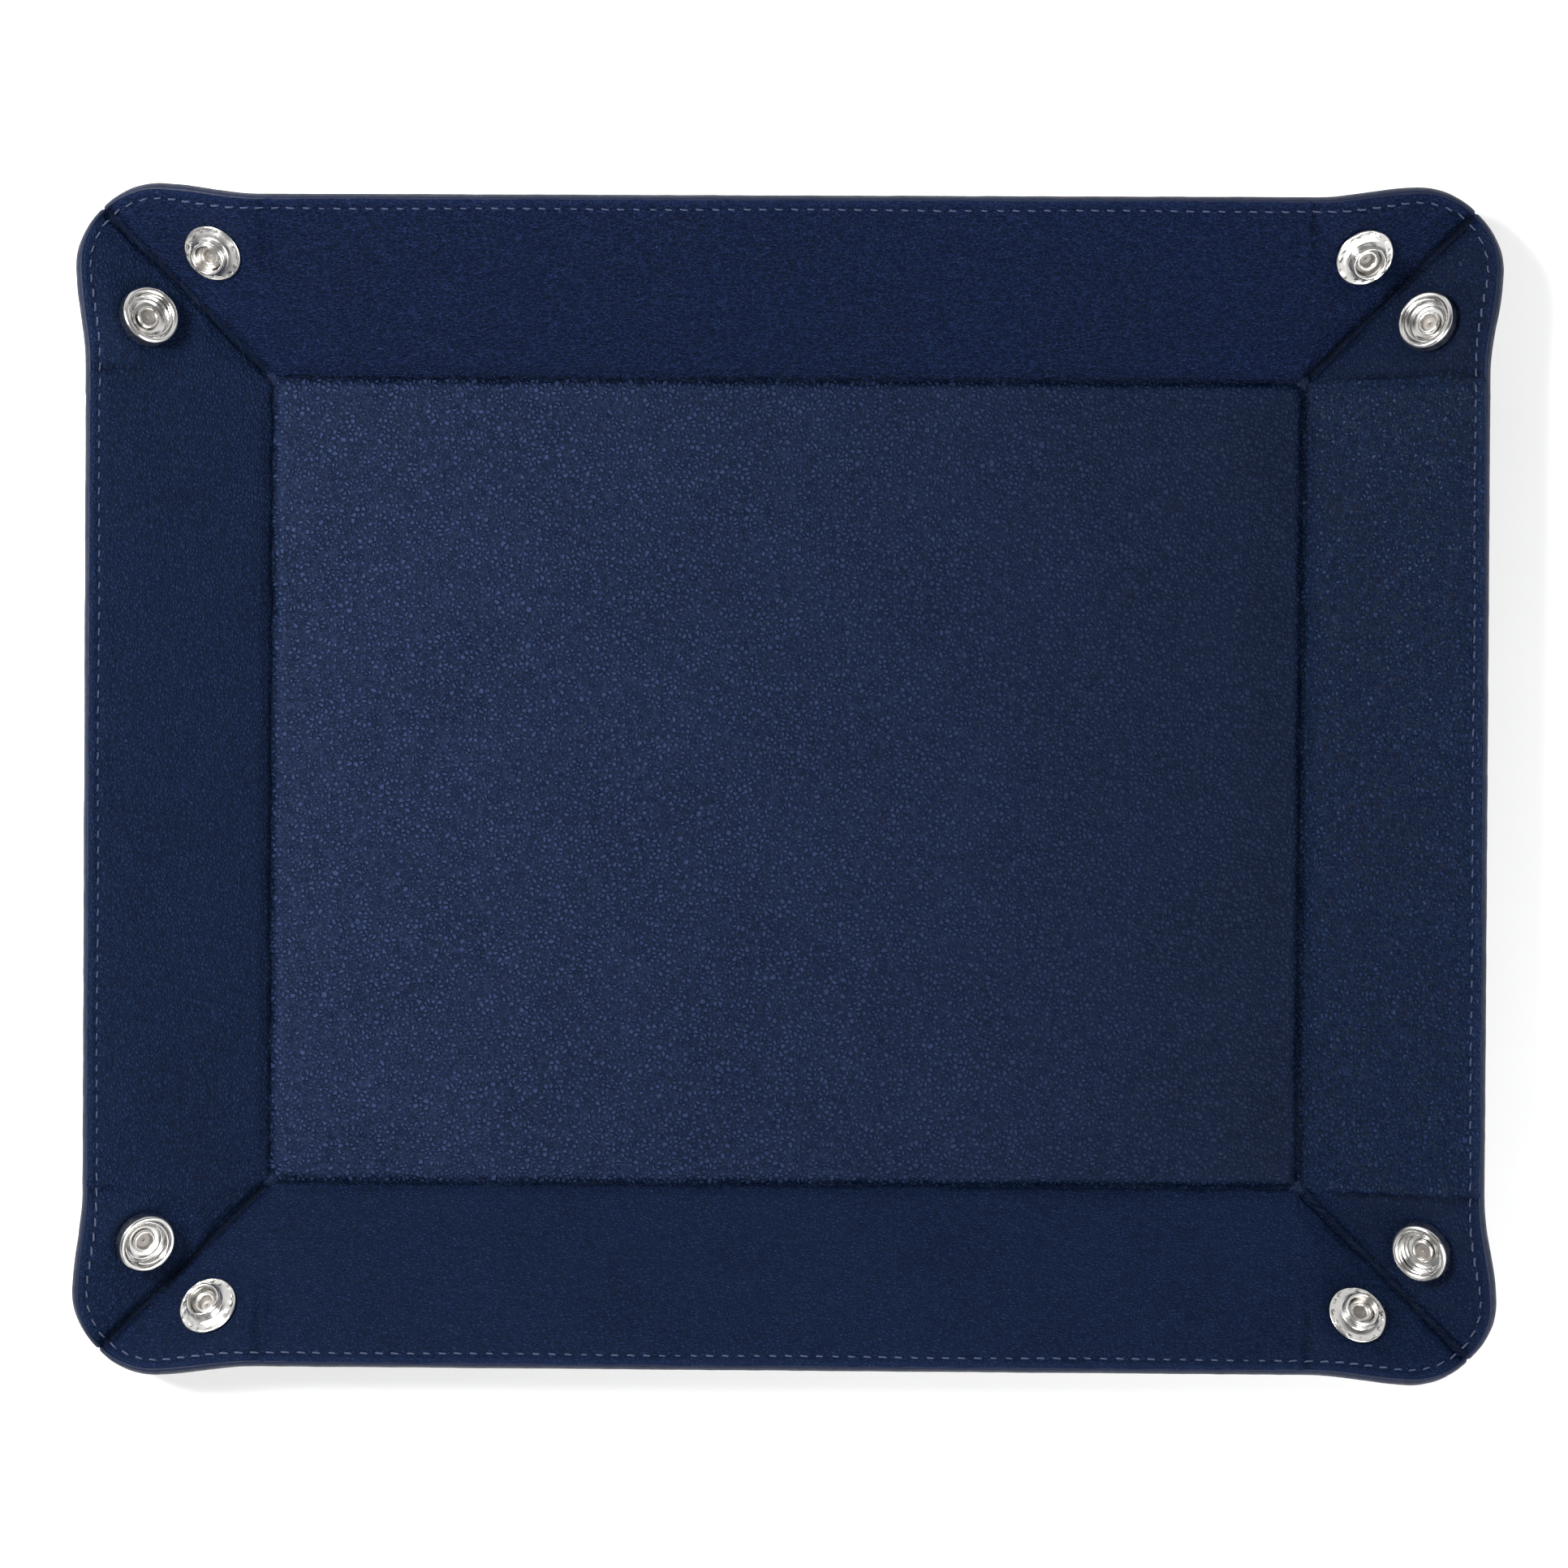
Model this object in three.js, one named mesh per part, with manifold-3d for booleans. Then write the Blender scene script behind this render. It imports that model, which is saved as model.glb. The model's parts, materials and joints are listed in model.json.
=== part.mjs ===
// A folding dice tray: a flat leather sheet with stiff boards inside, creased so that four walls stand
// up around a base. The webs at the corners fold outwards as the walls rise, and a press stud on each
// web then closes into a socket on the next one.
// Millimetres. +X along the long side, +Y to the back, +Z up. The origin is the centre of the underside.

import * as THREE from 'three';
import { mergeVertices } from 'three/addons/utils/BufferGeometryUtils.js';
import Module from 'manifold-3d';

// Driving dimensions.
const BASE_LENGTH = 214; // crease to crease along X
const BASE_WIDTH = 167; // crease to crease along Y
const WALL_HEIGHT = 40; // crease to rim, along the wall
const CORNER_RADIUS = 18; // of the flat sheet's corners
const REST_ANGLE = 24; // degrees that a wall stands up from the base
const CLOSED_ANGLE = 78; // degrees that a wall stands up with its press studs closed

// Layers, as heights over the hinge surface, which is the top of the leather at a crease.
const LINING_THICKNESS = 1.3;
const OUTER_THICKNESS = 1.3;
const GLUE_GAP = 0.25;
const BOARD_THICKNESS = 1.0;
const OUTER_TOP = -LINING_THICKNESS - GLUE_GAP;
const OUTER_BOTTOM = OUTER_TOP - OUTER_THICKNESS;
const BOARD_BOTTOM = OUTER_TOP + GLUE_GAP;
const BOARD_TOP = BOARD_BOTTOM + BOARD_THICKNESS;
const POCKET_TOP = BOARD_TOP + GLUE_GAP;
const PANEL_TOP = POCKET_TOP + LINING_THICKNESS;
const HINGE_HEIGHT = -OUTER_BOTTOM; // over the underside of the base

// Clearances on each side of a crease. The extension creases, at the ends of the walls, close at the
// underside as the walls rise, so they need more.
const BASE_CREASE_GAP = 0.35;
const EXTENSION_GAP = 0.8;
const DIAGONAL_GAP = 0.3;
const APEX_CLEARANCE = 5; // the webs start this far from the base's corner

// The raised panel over each board, measured in from the creases and from the rim.
const PANEL_INSET = 3;
const PANEL_RIM_INSET = 5;
const PANEL_CORNER = 3;
const BOARD_INSET = LINING_THICKNESS + GLUE_GAP;

// The web between an extension crease and the diagonal crease is a cone of flat facets.
const WEB_SPAN = THREE.MathUtils.degToRad(45);
const WEB_FACETS = 9;

// Press studs, on a flat seat pressed into each web.
const SEAT_ALONG = 27; // out from the base crease
const SEAT_ACROSS = 12; // out from the extension crease
const SEAT_RADIUS = 7;
const SEAT_SIDES = 12;
const POST_HOLE_RADIUS = 2.3;
const CLOSED_HALF_SPACE = 2.1; // from each seat to the diagonal plane with the studs closed
const SNAP_RADIUS = 6.3;
const STUD_RADIUS = 3.75;
const SNAP_SEGMENTS = 20;
const SNAP_GAP = 0.25; // under each flange

const COLOURS = {
  lining: { color: 0x232c46, roughness: 0.55, metalness: 0 },
  outer: { color: 0x1d2742, roughness: 0.6, metalness: 0 },
  board: { color: 0x8d7f6a, roughness: 0.9, metalness: 0 },
  nickel: { color: 0xb9b7b0, roughness: 0.2, metalness: 1 },
};

const wasm = await Module();
wasm.setup();

// Meshes, and solids for cutting and joining.

function signedVolume(geometry) {
  const { position } = geometry.attributes;
  const index = geometry.index.array;
  const corners = [new THREE.Vector3(), new THREE.Vector3(), new THREE.Vector3()];
  let volume = 0;
  for (let i = 0; i < index.length; i += 3) {
    corners.forEach((corner, k) => corner.fromBufferAttribute(position, index[i + k]));
    volume += corners[0].dot(corners[1].clone().cross(corners[2])) / 6;
  }
  return volume;
}

// One closed surface: shared corners merged, and every face pointing out.
function closed(geometry) {
  geometry.deleteAttribute('normal');
  geometry.deleteAttribute('uv');
  const merged = mergeVertices(geometry, 1e-4);
  if (signedVolume(merged) < 0) {
    const index = merged.index.array;
    for (let i = 0; i < index.length; i += 3) {
      [index[i], index[i + 1]] = [index[i + 1], index[i]];
    }
  }
  return merged;
}

function toSolid(geometry) {
  const { attributes, index } = closed(geometry);
  return new wasm.Manifold(new wasm.Mesh({
    numProp: 3,
    vertProperties: new Float32Array(attributes.position.array),
    triVerts: new Uint32Array(index.array),
  }));
}

function toGeometry(solid) {
  const mesh = solid.getMesh();
  const geometry = new THREE.BufferGeometry();
  geometry.setAttribute('position', new THREE.BufferAttribute(new Float32Array(mesh.vertProperties), 3));
  geometry.setIndex(Array.from(mesh.triVerts));
  return geometry;
}

function finished(name, geometry, colour) {
  const mesh = new THREE.Mesh(closed(geometry), new THREE.MeshStandardMaterial(COLOURS[colour]));
  mesh.geometry.computeVertexNormals();
  mesh.name = name;
  return mesh;
}

// Flat sheets.

function rectangle(left, right, bottom, top, radius = 0) {
  const shape = new THREE.Shape();
  if (radius === 0) {
    shape.moveTo(left, bottom).lineTo(right, bottom).lineTo(right, top).lineTo(left, top).closePath();
    return shape;
  }
  const quarter = Math.PI / 2;
  shape.absarc(right - radius, bottom + radius, radius, -quarter, 0);
  shape.absarc(right - radius, top - radius, radius, 0, quarter);
  shape.absarc(left + radius, top - radius, radius, quarter, 2 * quarter);
  shape.absarc(left + radius, bottom + radius, radius, 2 * quarter, 3 * quarter);
  shape.closePath();
  return shape;
}

function slab(shape, bottom, top) {
  const settings = { depth: top - bottom, bevelEnabled: false, curveSegments: 3 };
  return new THREE.ExtrudeGeometry(shape, settings).translate(0, 0, bottom);
}

// A lining lies flat along its edges and is raised over the board, which sits in the pocket below.
function liningOverBoard(edges, panel) {
  const sheet = toSolid(slab(rectangle(...edges), -LINING_THICKNESS, 0));
  const raised = toSolid(slab(rectangle(...panel, PANEL_CORNER), -LINING_THICKNESS, PANEL_TOP));
  const pocketEdges = inset(panel, LINING_THICKNESS);
  const pocket = toSolid(slab(rectangle(...pocketEdges, PANEL_CORNER - LINING_THICKNESS),
    -LINING_THICKNESS - 1, POCKET_TOP));
  return toGeometry(sheet.add(raised).subtract(pocket));
}

function inset([left, right, bottom, top], distance) {
  return [left + distance, right - distance, bottom + distance, top - distance];
}

function boardIn(panel) {
  const edges = inset(panel, BOARD_INSET);
  return slab(rectangle(...edges, PANEL_CORNER - BOARD_INSET), BOARD_BOTTOM, BOARD_TOP);
}

function makeBase() {
  const edges = inset([-BASE_LENGTH / 2, BASE_LENGTH / 2, -BASE_WIDTH / 2, BASE_WIDTH / 2], BASE_CREASE_GAP);
  const panel = inset(edges, PANEL_INSET - BASE_CREASE_GAP);
  const base = new THREE.Group();
  base.position.z = HINGE_HEIGHT;
  base.add(finished('base_lining', liningOverBoard(edges, panel), 'lining'));
  base.add(finished('base_board', boardIn(panel), 'board'));
  base.add(finished('base_outer', slab(rectangle(...edges), OUTER_BOTTOM, OUTER_TOP), 'outer'));
  return base;
}

// A wall in its own frame: X along its crease, Y out to its rim, Z its inner face's normal.
function makeWallPieces(name, length) {
  const end = length / 2 - EXTENSION_GAP;
  const edges = [-end, end, BASE_CREASE_GAP, WALL_HEIGHT];
  const panelEnd = length / 2 - PANEL_INSET;
  const panel = [-panelEnd, panelEnd, PANEL_INSET, WALL_HEIGHT - PANEL_RIM_INSET];
  return [
    finished(`${name}_lining`, liningOverBoard(edges, panel), 'lining'),
    finished(`${name}_board`, boardIn(panel), 'board'),
    finished(`${name}_outer`, slab(rectangle(...edges), OUTER_BOTTOM, OUTER_TOP), 'outer'),
  ];
}

// The cone of a web, in its wall's frame with the base's corner at the origin: one flat facet after
// another, each turned down from the last, with most of the turning next to the extension crease.
function conedFacets(totalTurn) {
  const step = WEB_SPAN / WEB_FACETS;
  const weights = Array.from({ length: WEB_FACETS - 1 }, (_, k) => WEB_FACETS - 1 - k);
  const weightSum = weights.reduce((sum, weight) => sum + weight, 0);
  const ray = new THREE.Vector3(0, 1, 0);
  const side = new THREE.Vector3(1, 0, 0);
  const normal = new THREE.Vector3(0, 0, 1);
  const facets = [];
  for (let k = 0; k < WEB_FACETS; k += 1) {
    facets.push({ ray: ray.clone(), side: side.clone(), normal: normal.clone() });
    ray.applyAxisAngle(normal, -step);
    side.applyAxisAngle(normal, -step);
    if (k < WEB_FACETS - 1) {
      const turn = (totalTurn * weights[k]) / weightSum;
      side.applyAxisAngle(ray, turn);
      normal.applyAxisAngle(ray, turn);
    }
  }
  return { facets, diagonal: ray.clone() };
}

// The normal of the vertical plane through the diagonal crease, in the frame of a wall at this angle.
function diagonalPlaneNormal(wallAngle) {
  const angle = THREE.MathUtils.degToRad(wallAngle);
  return new THREE.Vector3(1, -Math.cos(angle), Math.sin(angle)).normalize();
}

function rootOf(fn, low, high) {
  const risesWith = Math.sign(fn(high));
  for (let i = 0; i < 50; i += 1) {
    const middle = (low + high) / 2;
    if (fn(middle) * risesWith > 0) {
      high = middle;
    } else {
      low = middle;
    }
  }
  return (low + high) / 2;
}

const FOLD_AXIS = new THREE.Vector3(0, 1, 0); // a positive fold turns the web away from the inner face

// The turning that brings the web's last edge into the diagonal plane with the walls at rest.
const webTurn = rootOf(
  (turn) => conedFacets(turn).diagonal.dot(diagonalPlaneNormal(REST_ANGLE)),
  0, 0.6,
);
const { facets: webFacets, diagonal: webDiagonal } = conedFacets(webTurn);

// The further fold at the extension crease with the studs closed.
const closedFold = rootOf(
  (fold) => webDiagonal.clone().applyAxisAngle(FOLD_AXIS, fold).dot(diagonalPlaneNormal(CLOSED_ANGLE)),
  0.1, 0.9,
);

function facetAt(across, along) {
  const angle = Math.atan2(across, along);
  const index = Math.min(Math.floor((angle / WEB_SPAN) * WEB_FACETS), WEB_FACETS - 1);
  return { facet: webFacets[index], angle: angle - (index * WEB_SPAN) / WEB_FACETS };
}

function onCone(across, along) {
  const { facet, angle } = facetAt(across, along);
  const radius = Math.hypot(across, along);
  return new THREE.Vector3()
    .addScaledVector(facet.ray, radius * Math.cos(angle))
    .addScaledVector(facet.side, radius * Math.sin(angle));
}

// The seat is parallel to the diagonal plane, and the closed half space from it, when the studs close.
function findSeat() {
  const normal = diagonalPlaneNormal(CLOSED_ANGLE).applyAxisAngle(FOLD_AXIS, -closedFold);
  const centre = onCone(SEAT_ACROSS, SEAT_ALONG);
  centre.addScaledVector(normal, -CLOSED_HALF_SPACE - centre.dot(normal));
  const { facet } = facetAt(SEAT_ACROSS, SEAT_ALONG);
  const along = new THREE.Vector3(0, 1, 0).projectOnPlane(facet.normal).projectOnPlane(normal).normalize();
  const across = along.clone().cross(normal);
  return { centre, normal, along, across };
}

const seat = findSeat();

// Angles on the flat sheet are taken about the seat, and points are across and along.
function angleAboutSeat({ x, y }) {
  return Math.atan2(y - SEAT_ALONG, x - SEAT_ACROSS);
}

// The web's outline, clear of its two creases, turning left about the seat.
function webOutline() {
  const arcCentre = WALL_HEIGHT - CORNER_RADIUS;
  const diagonalShift = DIAGONAL_GAP * Math.SQRT2;
  const lastArcAngle = Math.PI / 4 + Math.asin(DIAGONAL_GAP / CORNER_RADIUS);
  const onArc = (share) => {
    const angle = THREE.MathUtils.lerp(Math.PI / 2, lastArcAngle, share);
    return [arcCentre + CORNER_RADIUS * Math.cos(angle), arcCentre + CORNER_RADIUS * Math.sin(angle)];
  };
  const apex = APEX_CLEARANCE / Math.SQRT2;
  const corners = [
    [EXTENSION_GAP, APEX_CLEARANCE],
    [EXTENSION_GAP, WALL_HEIGHT],
    ...[0, 1, 2, 3, 4].map((step) => onArc(step / 4)),
    [apex, apex + diagonalShift],
  ];
  const splits = [5, 2, 1, 1, 1, 1, 4, 1];
  const outline = corners.flatMap(([across, along], k) => {
    const [nextAcross, nextAlong] = corners[(k + 1) % corners.length];
    return Array.from({ length: splits[k] }, (_, step) => new THREE.Vector2(
      THREE.MathUtils.lerp(across, nextAcross, step / splits[k]),
      THREE.MathUtils.lerp(along, nextAlong, step / splits[k]),
    ));
  });
  return outline.sort((a, b) => angleAboutSeat(a) - angleAboutSeat(b));
}

// A circle around the seat on the flat sheet, in the same order as the outline.
function ring(radius) {
  return Array.from({ length: SEAT_SIDES }, (_, k) => {
    const angle = (2 * Math.PI * (k + 0.5)) / SEAT_SIDES - Math.PI;
    return new THREE.Vector2(SEAT_ACROSS + radius * Math.cos(angle), SEAT_ALONG + radius * Math.sin(angle));
  });
}

function onSeat(flat) {
  return seat.centre.clone()
    .addScaledVector(seat.across, flat.x - SEAT_ACROSS)
    .addScaledVector(seat.along, flat.y - SEAT_ALONG);
}

// Triangles between two loops of places around the seat, the outer one starting at index 0.
function bridge(outer, outerStart, inner, innerStart) {
  const angleAt = (loop, k) => angleAboutSeat(loop[k % loop.length]) + (k < loop.length ? 0 : 2 * Math.PI);
  const triangles = [];
  let i = 0;
  let j = 0;
  while (i < outer.length || j < inner.length) {
    const a = outerStart + (i % outer.length);
    const b = innerStart + (j % inner.length);
    const stepsOuter = j >= inner.length
      || (i < outer.length && angleAt(outer, i + 1) < angleAt(inner, j + 1));
    if (stepsOuter) {
      i += 1;
      triangles.push([a, outerStart + (i % outer.length), b]);
    } else {
      j += 1;
      triangles.push([a, innerStart + (j % inner.length), b]);
    }
  }
  return triangles;
}

// One layer of a web, between two heights over the hinge surface. hand is 1 or -1, for the two ends.
function webLayer(hand, bottom, top) {
  const outline = webOutline();
  const seatEdge = ring(SEAT_RADIUS);
  const postHole = ring(POST_HOLE_RADIUS);
  const places = [
    ...outline.map(({ x, y }) => ({ point: onCone(x, y), normal: facetAt(x, y).facet.normal })),
    ...[...seatEdge, ...postHole].map((flat) => ({ point: onSeat(flat), normal: seat.normal })),
  ];
  const count = places.length;
  const seatStart = outline.length;
  const holeStart = seatStart + SEAT_SIDES;
  const surface = [
    ...bridge(outline, 0, seatEdge, seatStart),
    ...bridge(seatEdge, seatStart, postHole, holeStart),
  ];
  const faces = surface.flatMap(([a, b, c]) => [[a, b, c], [a + count, c + count, b + count]]);
  for (let k = 0; k < outline.length; k += 1) {
    const next = (k + 1) % outline.length;
    faces.push([k, k + count, next + count], [k, next + count, next]);
  }
  for (let k = 0; k < SEAT_SIDES; k += 1) {
    const here = holeStart + k;
    const next = holeStart + ((k + 1) % SEAT_SIDES);
    faces.push([here, next + count, here + count], [here, next, next + count]);
  }

  const level = (height) => places.map(({ point, normal }) => point.clone().addScaledVector(normal, height));
  const coordinates = [...level(top), ...level(bottom)].flatMap(({ x, y, z }) => [hand * x, y, z]);
  const geometry = new THREE.BufferGeometry();
  geometry.setAttribute('position', new THREE.Float32BufferAttribute(coordinates, 3));
  geometry.setIndex(faces.flat());
  return geometry;
}

// Press stud pieces, turned about Z, with the seat's top face at zero.

function turned(profile) {
  const points = profile.map(([radius, height]) => new THREE.Vector2(radius, height));
  return new THREE.LatheGeometry(points, SNAP_SEGMENTS).rotateX(Math.PI / 2);
}

const UNDERSIDE = OUTER_BOTTOM - SNAP_GAP;

function studShape() {
  return turned([
    [2.4, SNAP_GAP],
    [SNAP_RADIUS, SNAP_GAP],
    [SNAP_RADIUS, 0.75],
    [4.4, 0.9],
    [3.45, 1.3],
    [STUD_RADIUS, 2.7],
    [STUD_RADIUS - 0.3, 3.4],
    [3.05, 3.4],
    [2.85, 1.3],
    [2.4, 1.0],
    [2.4, SNAP_GAP],
  ]);
}

function studEyeletShape() {
  return turned([
    [1.35, UNDERSIDE - 0.7],
    [5.4, UNDERSIDE - 0.7],
    [5.6, UNDERSIDE],
    [2.0, UNDERSIDE],
    [2.0, 1.2],
    [2.55, 1.25],
    [2.3, 1.65],
    [1.35, 1.5],
    [1.35, UNDERSIDE - 0.7],
  ]);
}

function socketShape() {
  return turned([
    [2.3, SNAP_GAP],
    [5.9, SNAP_GAP],
    [SNAP_RADIUS, 0.6],
    [SNAP_RADIUS, 2.4],
    [5.9, 2.9],
    [5.2, 3.0],
    [4.85, 2.7],
    [5.6, 2.4],
    [5.6, 1.4],
    [4.4, 1.1],
    [3.6, 0.7],
    [2.3, 0.6],
    [2.3, SNAP_GAP],
  ]);
}

function socketCapShape() {
  return turned([
    [0, UNDERSIDE - 2.0],
    [3.8, UNDERSIDE - 1.7],
    [5.8, UNDERSIDE - 0.9],
    [SNAP_RADIUS, UNDERSIDE - 0.2],
    [6.2, UNDERSIDE],
    [2.0, UNDERSIDE],
    [2.0, 0.8],
    [2.5, 0.85],
    [2.2, 1.2],
    [1.65, 1.1],
    [1.65, UNDERSIDE - 0.4],
    [0, UNDERSIDE - 0.4],
  ]);
}

// The spring ring is split, with its ends at the side away from the diagonal crease.
function springRingShape() {
  const wireRadius = 0.42;
  const ringRadius = 4.75;
  const gapAngle = 0.3;
  const wire = new THREE.Shape();
  wire.absarc(0, 0, wireRadius, 0, 2 * Math.PI);
  const ringPoints = Array.from({ length: SNAP_SEGMENTS }, (_, k) => {
    const angle = gapAngle + ((2 * Math.PI - 2 * gapAngle) * k) / (SNAP_SEGMENTS - 1);
    return new THREE.Vector3(ringRadius * Math.cos(angle), ringRadius * Math.sin(angle), 1.9);
  });
  const extrudePath = new THREE.CatmullRomCurve3(ringPoints);
  const settings = { steps: SNAP_SEGMENTS, curveSegments: 3, extrudePath, bevelEnabled: false };
  return new THREE.ExtrudeGeometry(wire, settings);
}

const SNAP_PIECES = {
  stud: { stud: studShape, stud_eyelet: studEyeletShape },
  socket: { socket: socketShape, socket_ring: springRingShape, socket_cap: socketCapShape },
};

function makeSnap(name, kind, hand) {
  const snap = new THREE.Group();
  const mirrored = (vector) => vector.clone().multiply(new THREE.Vector3(hand, 1, 1));
  snap.position.copy(mirrored(seat.centre));
  snap.quaternion.setFromUnitVectors(new THREE.Vector3(0, 0, 1), mirrored(seat.normal));
  Object.entries(SNAP_PIECES[kind]).forEach(([piece, shape]) => {
    snap.add(finished(`${name}_${piece}`, shape(), 'nickel'));
  });
  return snap;
}

function makeWeb(name, hand, snapKind) {
  const web = new THREE.Group();
  web.add(finished(`${name}_web_lining`, webLayer(hand, -LINING_THICKNESS, 0), 'lining'));
  web.add(finished(`${name}_web_outer`, webLayer(hand, OUTER_BOTTOM, OUTER_TOP), 'outer'));
  web.add(makeSnap(name, snapKind, hand));
  return web;
}

// Each wall, turned about Z from the back wall's place. The ends are named from the tray's middle.
const WALLS = [
  { name: 'back', heading: 0, length: BASE_LENGTH, reach: BASE_WIDTH / 2, snap: 'stud', ends: ['left', 'right'] },
  { name: 'left', heading: 90, length: BASE_WIDTH, reach: BASE_LENGTH / 2, snap: 'socket', ends: ['front', 'back'] },
  { name: 'front', heading: 180, length: BASE_LENGTH, reach: BASE_WIDTH / 2, snap: 'stud', ends: ['right', 'left'] },
  { name: 'right', heading: 270, length: BASE_WIDTH, reach: BASE_LENGTH / 2, snap: 'socket', ends: ['back', 'front'] },
];

function makeWall({ name, heading, length, reach, snap, ends }) {
  const side = new THREE.Group();
  side.rotation.z = THREE.MathUtils.degToRad(heading);
  const wall = new THREE.Group();
  wall.position.set(0, reach, HINGE_HEIGHT);
  wall.rotation.x = THREE.MathUtils.degToRad(REST_ANGLE);
  wall.add(...makeWallPieces(`${name}_wall`, length));
  [-1, 1].forEach((hand, k) => {
    const web = makeWeb(`${name}_${ends[k]}`, hand, snap);
    web.position.x = (hand * length) / 2;
    wall.add(web);
  });
  side.add(wall);
  return side;
}

const tray = new THREE.Group();
tray.add(makeBase());
WALLS.forEach((wall) => tray.add(makeWall(wall)));

export default tray;
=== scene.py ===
"""The folding dice tray's looks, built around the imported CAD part.

The tray is one flat sheet of lined leather. Every soft piece is first laid out on that flat sheet, in
millimetres, and then carried to the tray's rest shape: walls turned up at their creases, webs on the cone
between an extension crease and the diagonal, with a flat seat pressed in under each press stud.
"""

import json
import math
from types import SimpleNamespace

import bpy
import numpy as np
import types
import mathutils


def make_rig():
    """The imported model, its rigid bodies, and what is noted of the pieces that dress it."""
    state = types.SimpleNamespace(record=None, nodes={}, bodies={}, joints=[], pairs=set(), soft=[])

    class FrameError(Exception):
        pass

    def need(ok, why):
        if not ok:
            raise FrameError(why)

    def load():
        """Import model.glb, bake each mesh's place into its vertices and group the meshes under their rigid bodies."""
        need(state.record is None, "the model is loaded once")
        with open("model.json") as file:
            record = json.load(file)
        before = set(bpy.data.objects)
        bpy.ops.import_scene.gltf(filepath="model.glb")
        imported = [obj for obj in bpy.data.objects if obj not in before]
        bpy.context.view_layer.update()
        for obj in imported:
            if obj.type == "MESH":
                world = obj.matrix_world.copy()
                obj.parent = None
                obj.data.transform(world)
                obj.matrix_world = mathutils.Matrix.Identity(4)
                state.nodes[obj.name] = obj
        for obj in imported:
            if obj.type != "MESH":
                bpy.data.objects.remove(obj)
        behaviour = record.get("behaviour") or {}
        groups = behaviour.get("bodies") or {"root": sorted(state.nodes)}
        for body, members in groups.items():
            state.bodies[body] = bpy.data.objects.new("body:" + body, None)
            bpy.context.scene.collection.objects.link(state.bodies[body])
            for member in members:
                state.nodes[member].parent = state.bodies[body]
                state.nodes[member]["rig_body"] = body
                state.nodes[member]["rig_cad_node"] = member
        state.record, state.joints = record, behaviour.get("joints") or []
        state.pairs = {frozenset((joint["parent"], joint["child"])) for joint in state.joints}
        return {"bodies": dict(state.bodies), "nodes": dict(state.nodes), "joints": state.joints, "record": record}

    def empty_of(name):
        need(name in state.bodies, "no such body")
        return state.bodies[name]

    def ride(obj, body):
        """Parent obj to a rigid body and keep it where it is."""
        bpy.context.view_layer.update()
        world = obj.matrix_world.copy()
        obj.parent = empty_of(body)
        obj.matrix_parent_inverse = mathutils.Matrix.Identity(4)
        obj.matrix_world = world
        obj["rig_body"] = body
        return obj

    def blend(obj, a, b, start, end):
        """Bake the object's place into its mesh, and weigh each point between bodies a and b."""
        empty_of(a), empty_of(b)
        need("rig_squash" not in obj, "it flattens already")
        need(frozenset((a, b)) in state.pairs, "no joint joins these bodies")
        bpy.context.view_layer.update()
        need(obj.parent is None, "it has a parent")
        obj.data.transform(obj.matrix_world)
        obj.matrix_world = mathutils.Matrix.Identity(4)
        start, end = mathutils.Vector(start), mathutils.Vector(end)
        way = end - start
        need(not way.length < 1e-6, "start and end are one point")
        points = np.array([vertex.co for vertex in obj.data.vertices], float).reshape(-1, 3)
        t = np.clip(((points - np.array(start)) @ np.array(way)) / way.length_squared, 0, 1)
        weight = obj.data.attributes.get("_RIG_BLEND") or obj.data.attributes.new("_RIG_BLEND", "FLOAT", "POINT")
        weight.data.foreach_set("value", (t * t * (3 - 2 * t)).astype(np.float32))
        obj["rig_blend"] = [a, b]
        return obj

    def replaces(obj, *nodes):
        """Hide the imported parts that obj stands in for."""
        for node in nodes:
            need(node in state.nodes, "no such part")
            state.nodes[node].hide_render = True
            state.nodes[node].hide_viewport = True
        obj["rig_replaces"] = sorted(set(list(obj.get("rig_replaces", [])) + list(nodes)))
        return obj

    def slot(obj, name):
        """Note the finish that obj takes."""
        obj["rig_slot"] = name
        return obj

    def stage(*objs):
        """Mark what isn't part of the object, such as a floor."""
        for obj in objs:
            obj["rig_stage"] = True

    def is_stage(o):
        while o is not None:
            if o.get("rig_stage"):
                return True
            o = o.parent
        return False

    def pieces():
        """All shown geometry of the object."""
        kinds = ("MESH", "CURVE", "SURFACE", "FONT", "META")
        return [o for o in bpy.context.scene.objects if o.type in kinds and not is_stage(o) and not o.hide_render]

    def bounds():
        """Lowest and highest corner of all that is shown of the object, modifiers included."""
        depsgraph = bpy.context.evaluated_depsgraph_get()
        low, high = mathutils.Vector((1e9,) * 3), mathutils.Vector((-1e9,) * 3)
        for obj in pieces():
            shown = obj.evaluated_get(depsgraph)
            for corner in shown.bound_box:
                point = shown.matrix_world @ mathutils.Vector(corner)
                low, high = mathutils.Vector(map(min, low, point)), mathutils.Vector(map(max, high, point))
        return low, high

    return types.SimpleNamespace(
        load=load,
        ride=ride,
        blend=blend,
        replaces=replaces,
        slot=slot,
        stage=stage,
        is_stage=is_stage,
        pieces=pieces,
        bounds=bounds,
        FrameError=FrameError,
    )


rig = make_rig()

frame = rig.load()
cad_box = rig.bounds()

MM = 0.001
SHEET_UNIT = 100.0  # millimetres of flat sheet to one unit of the UV map

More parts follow.
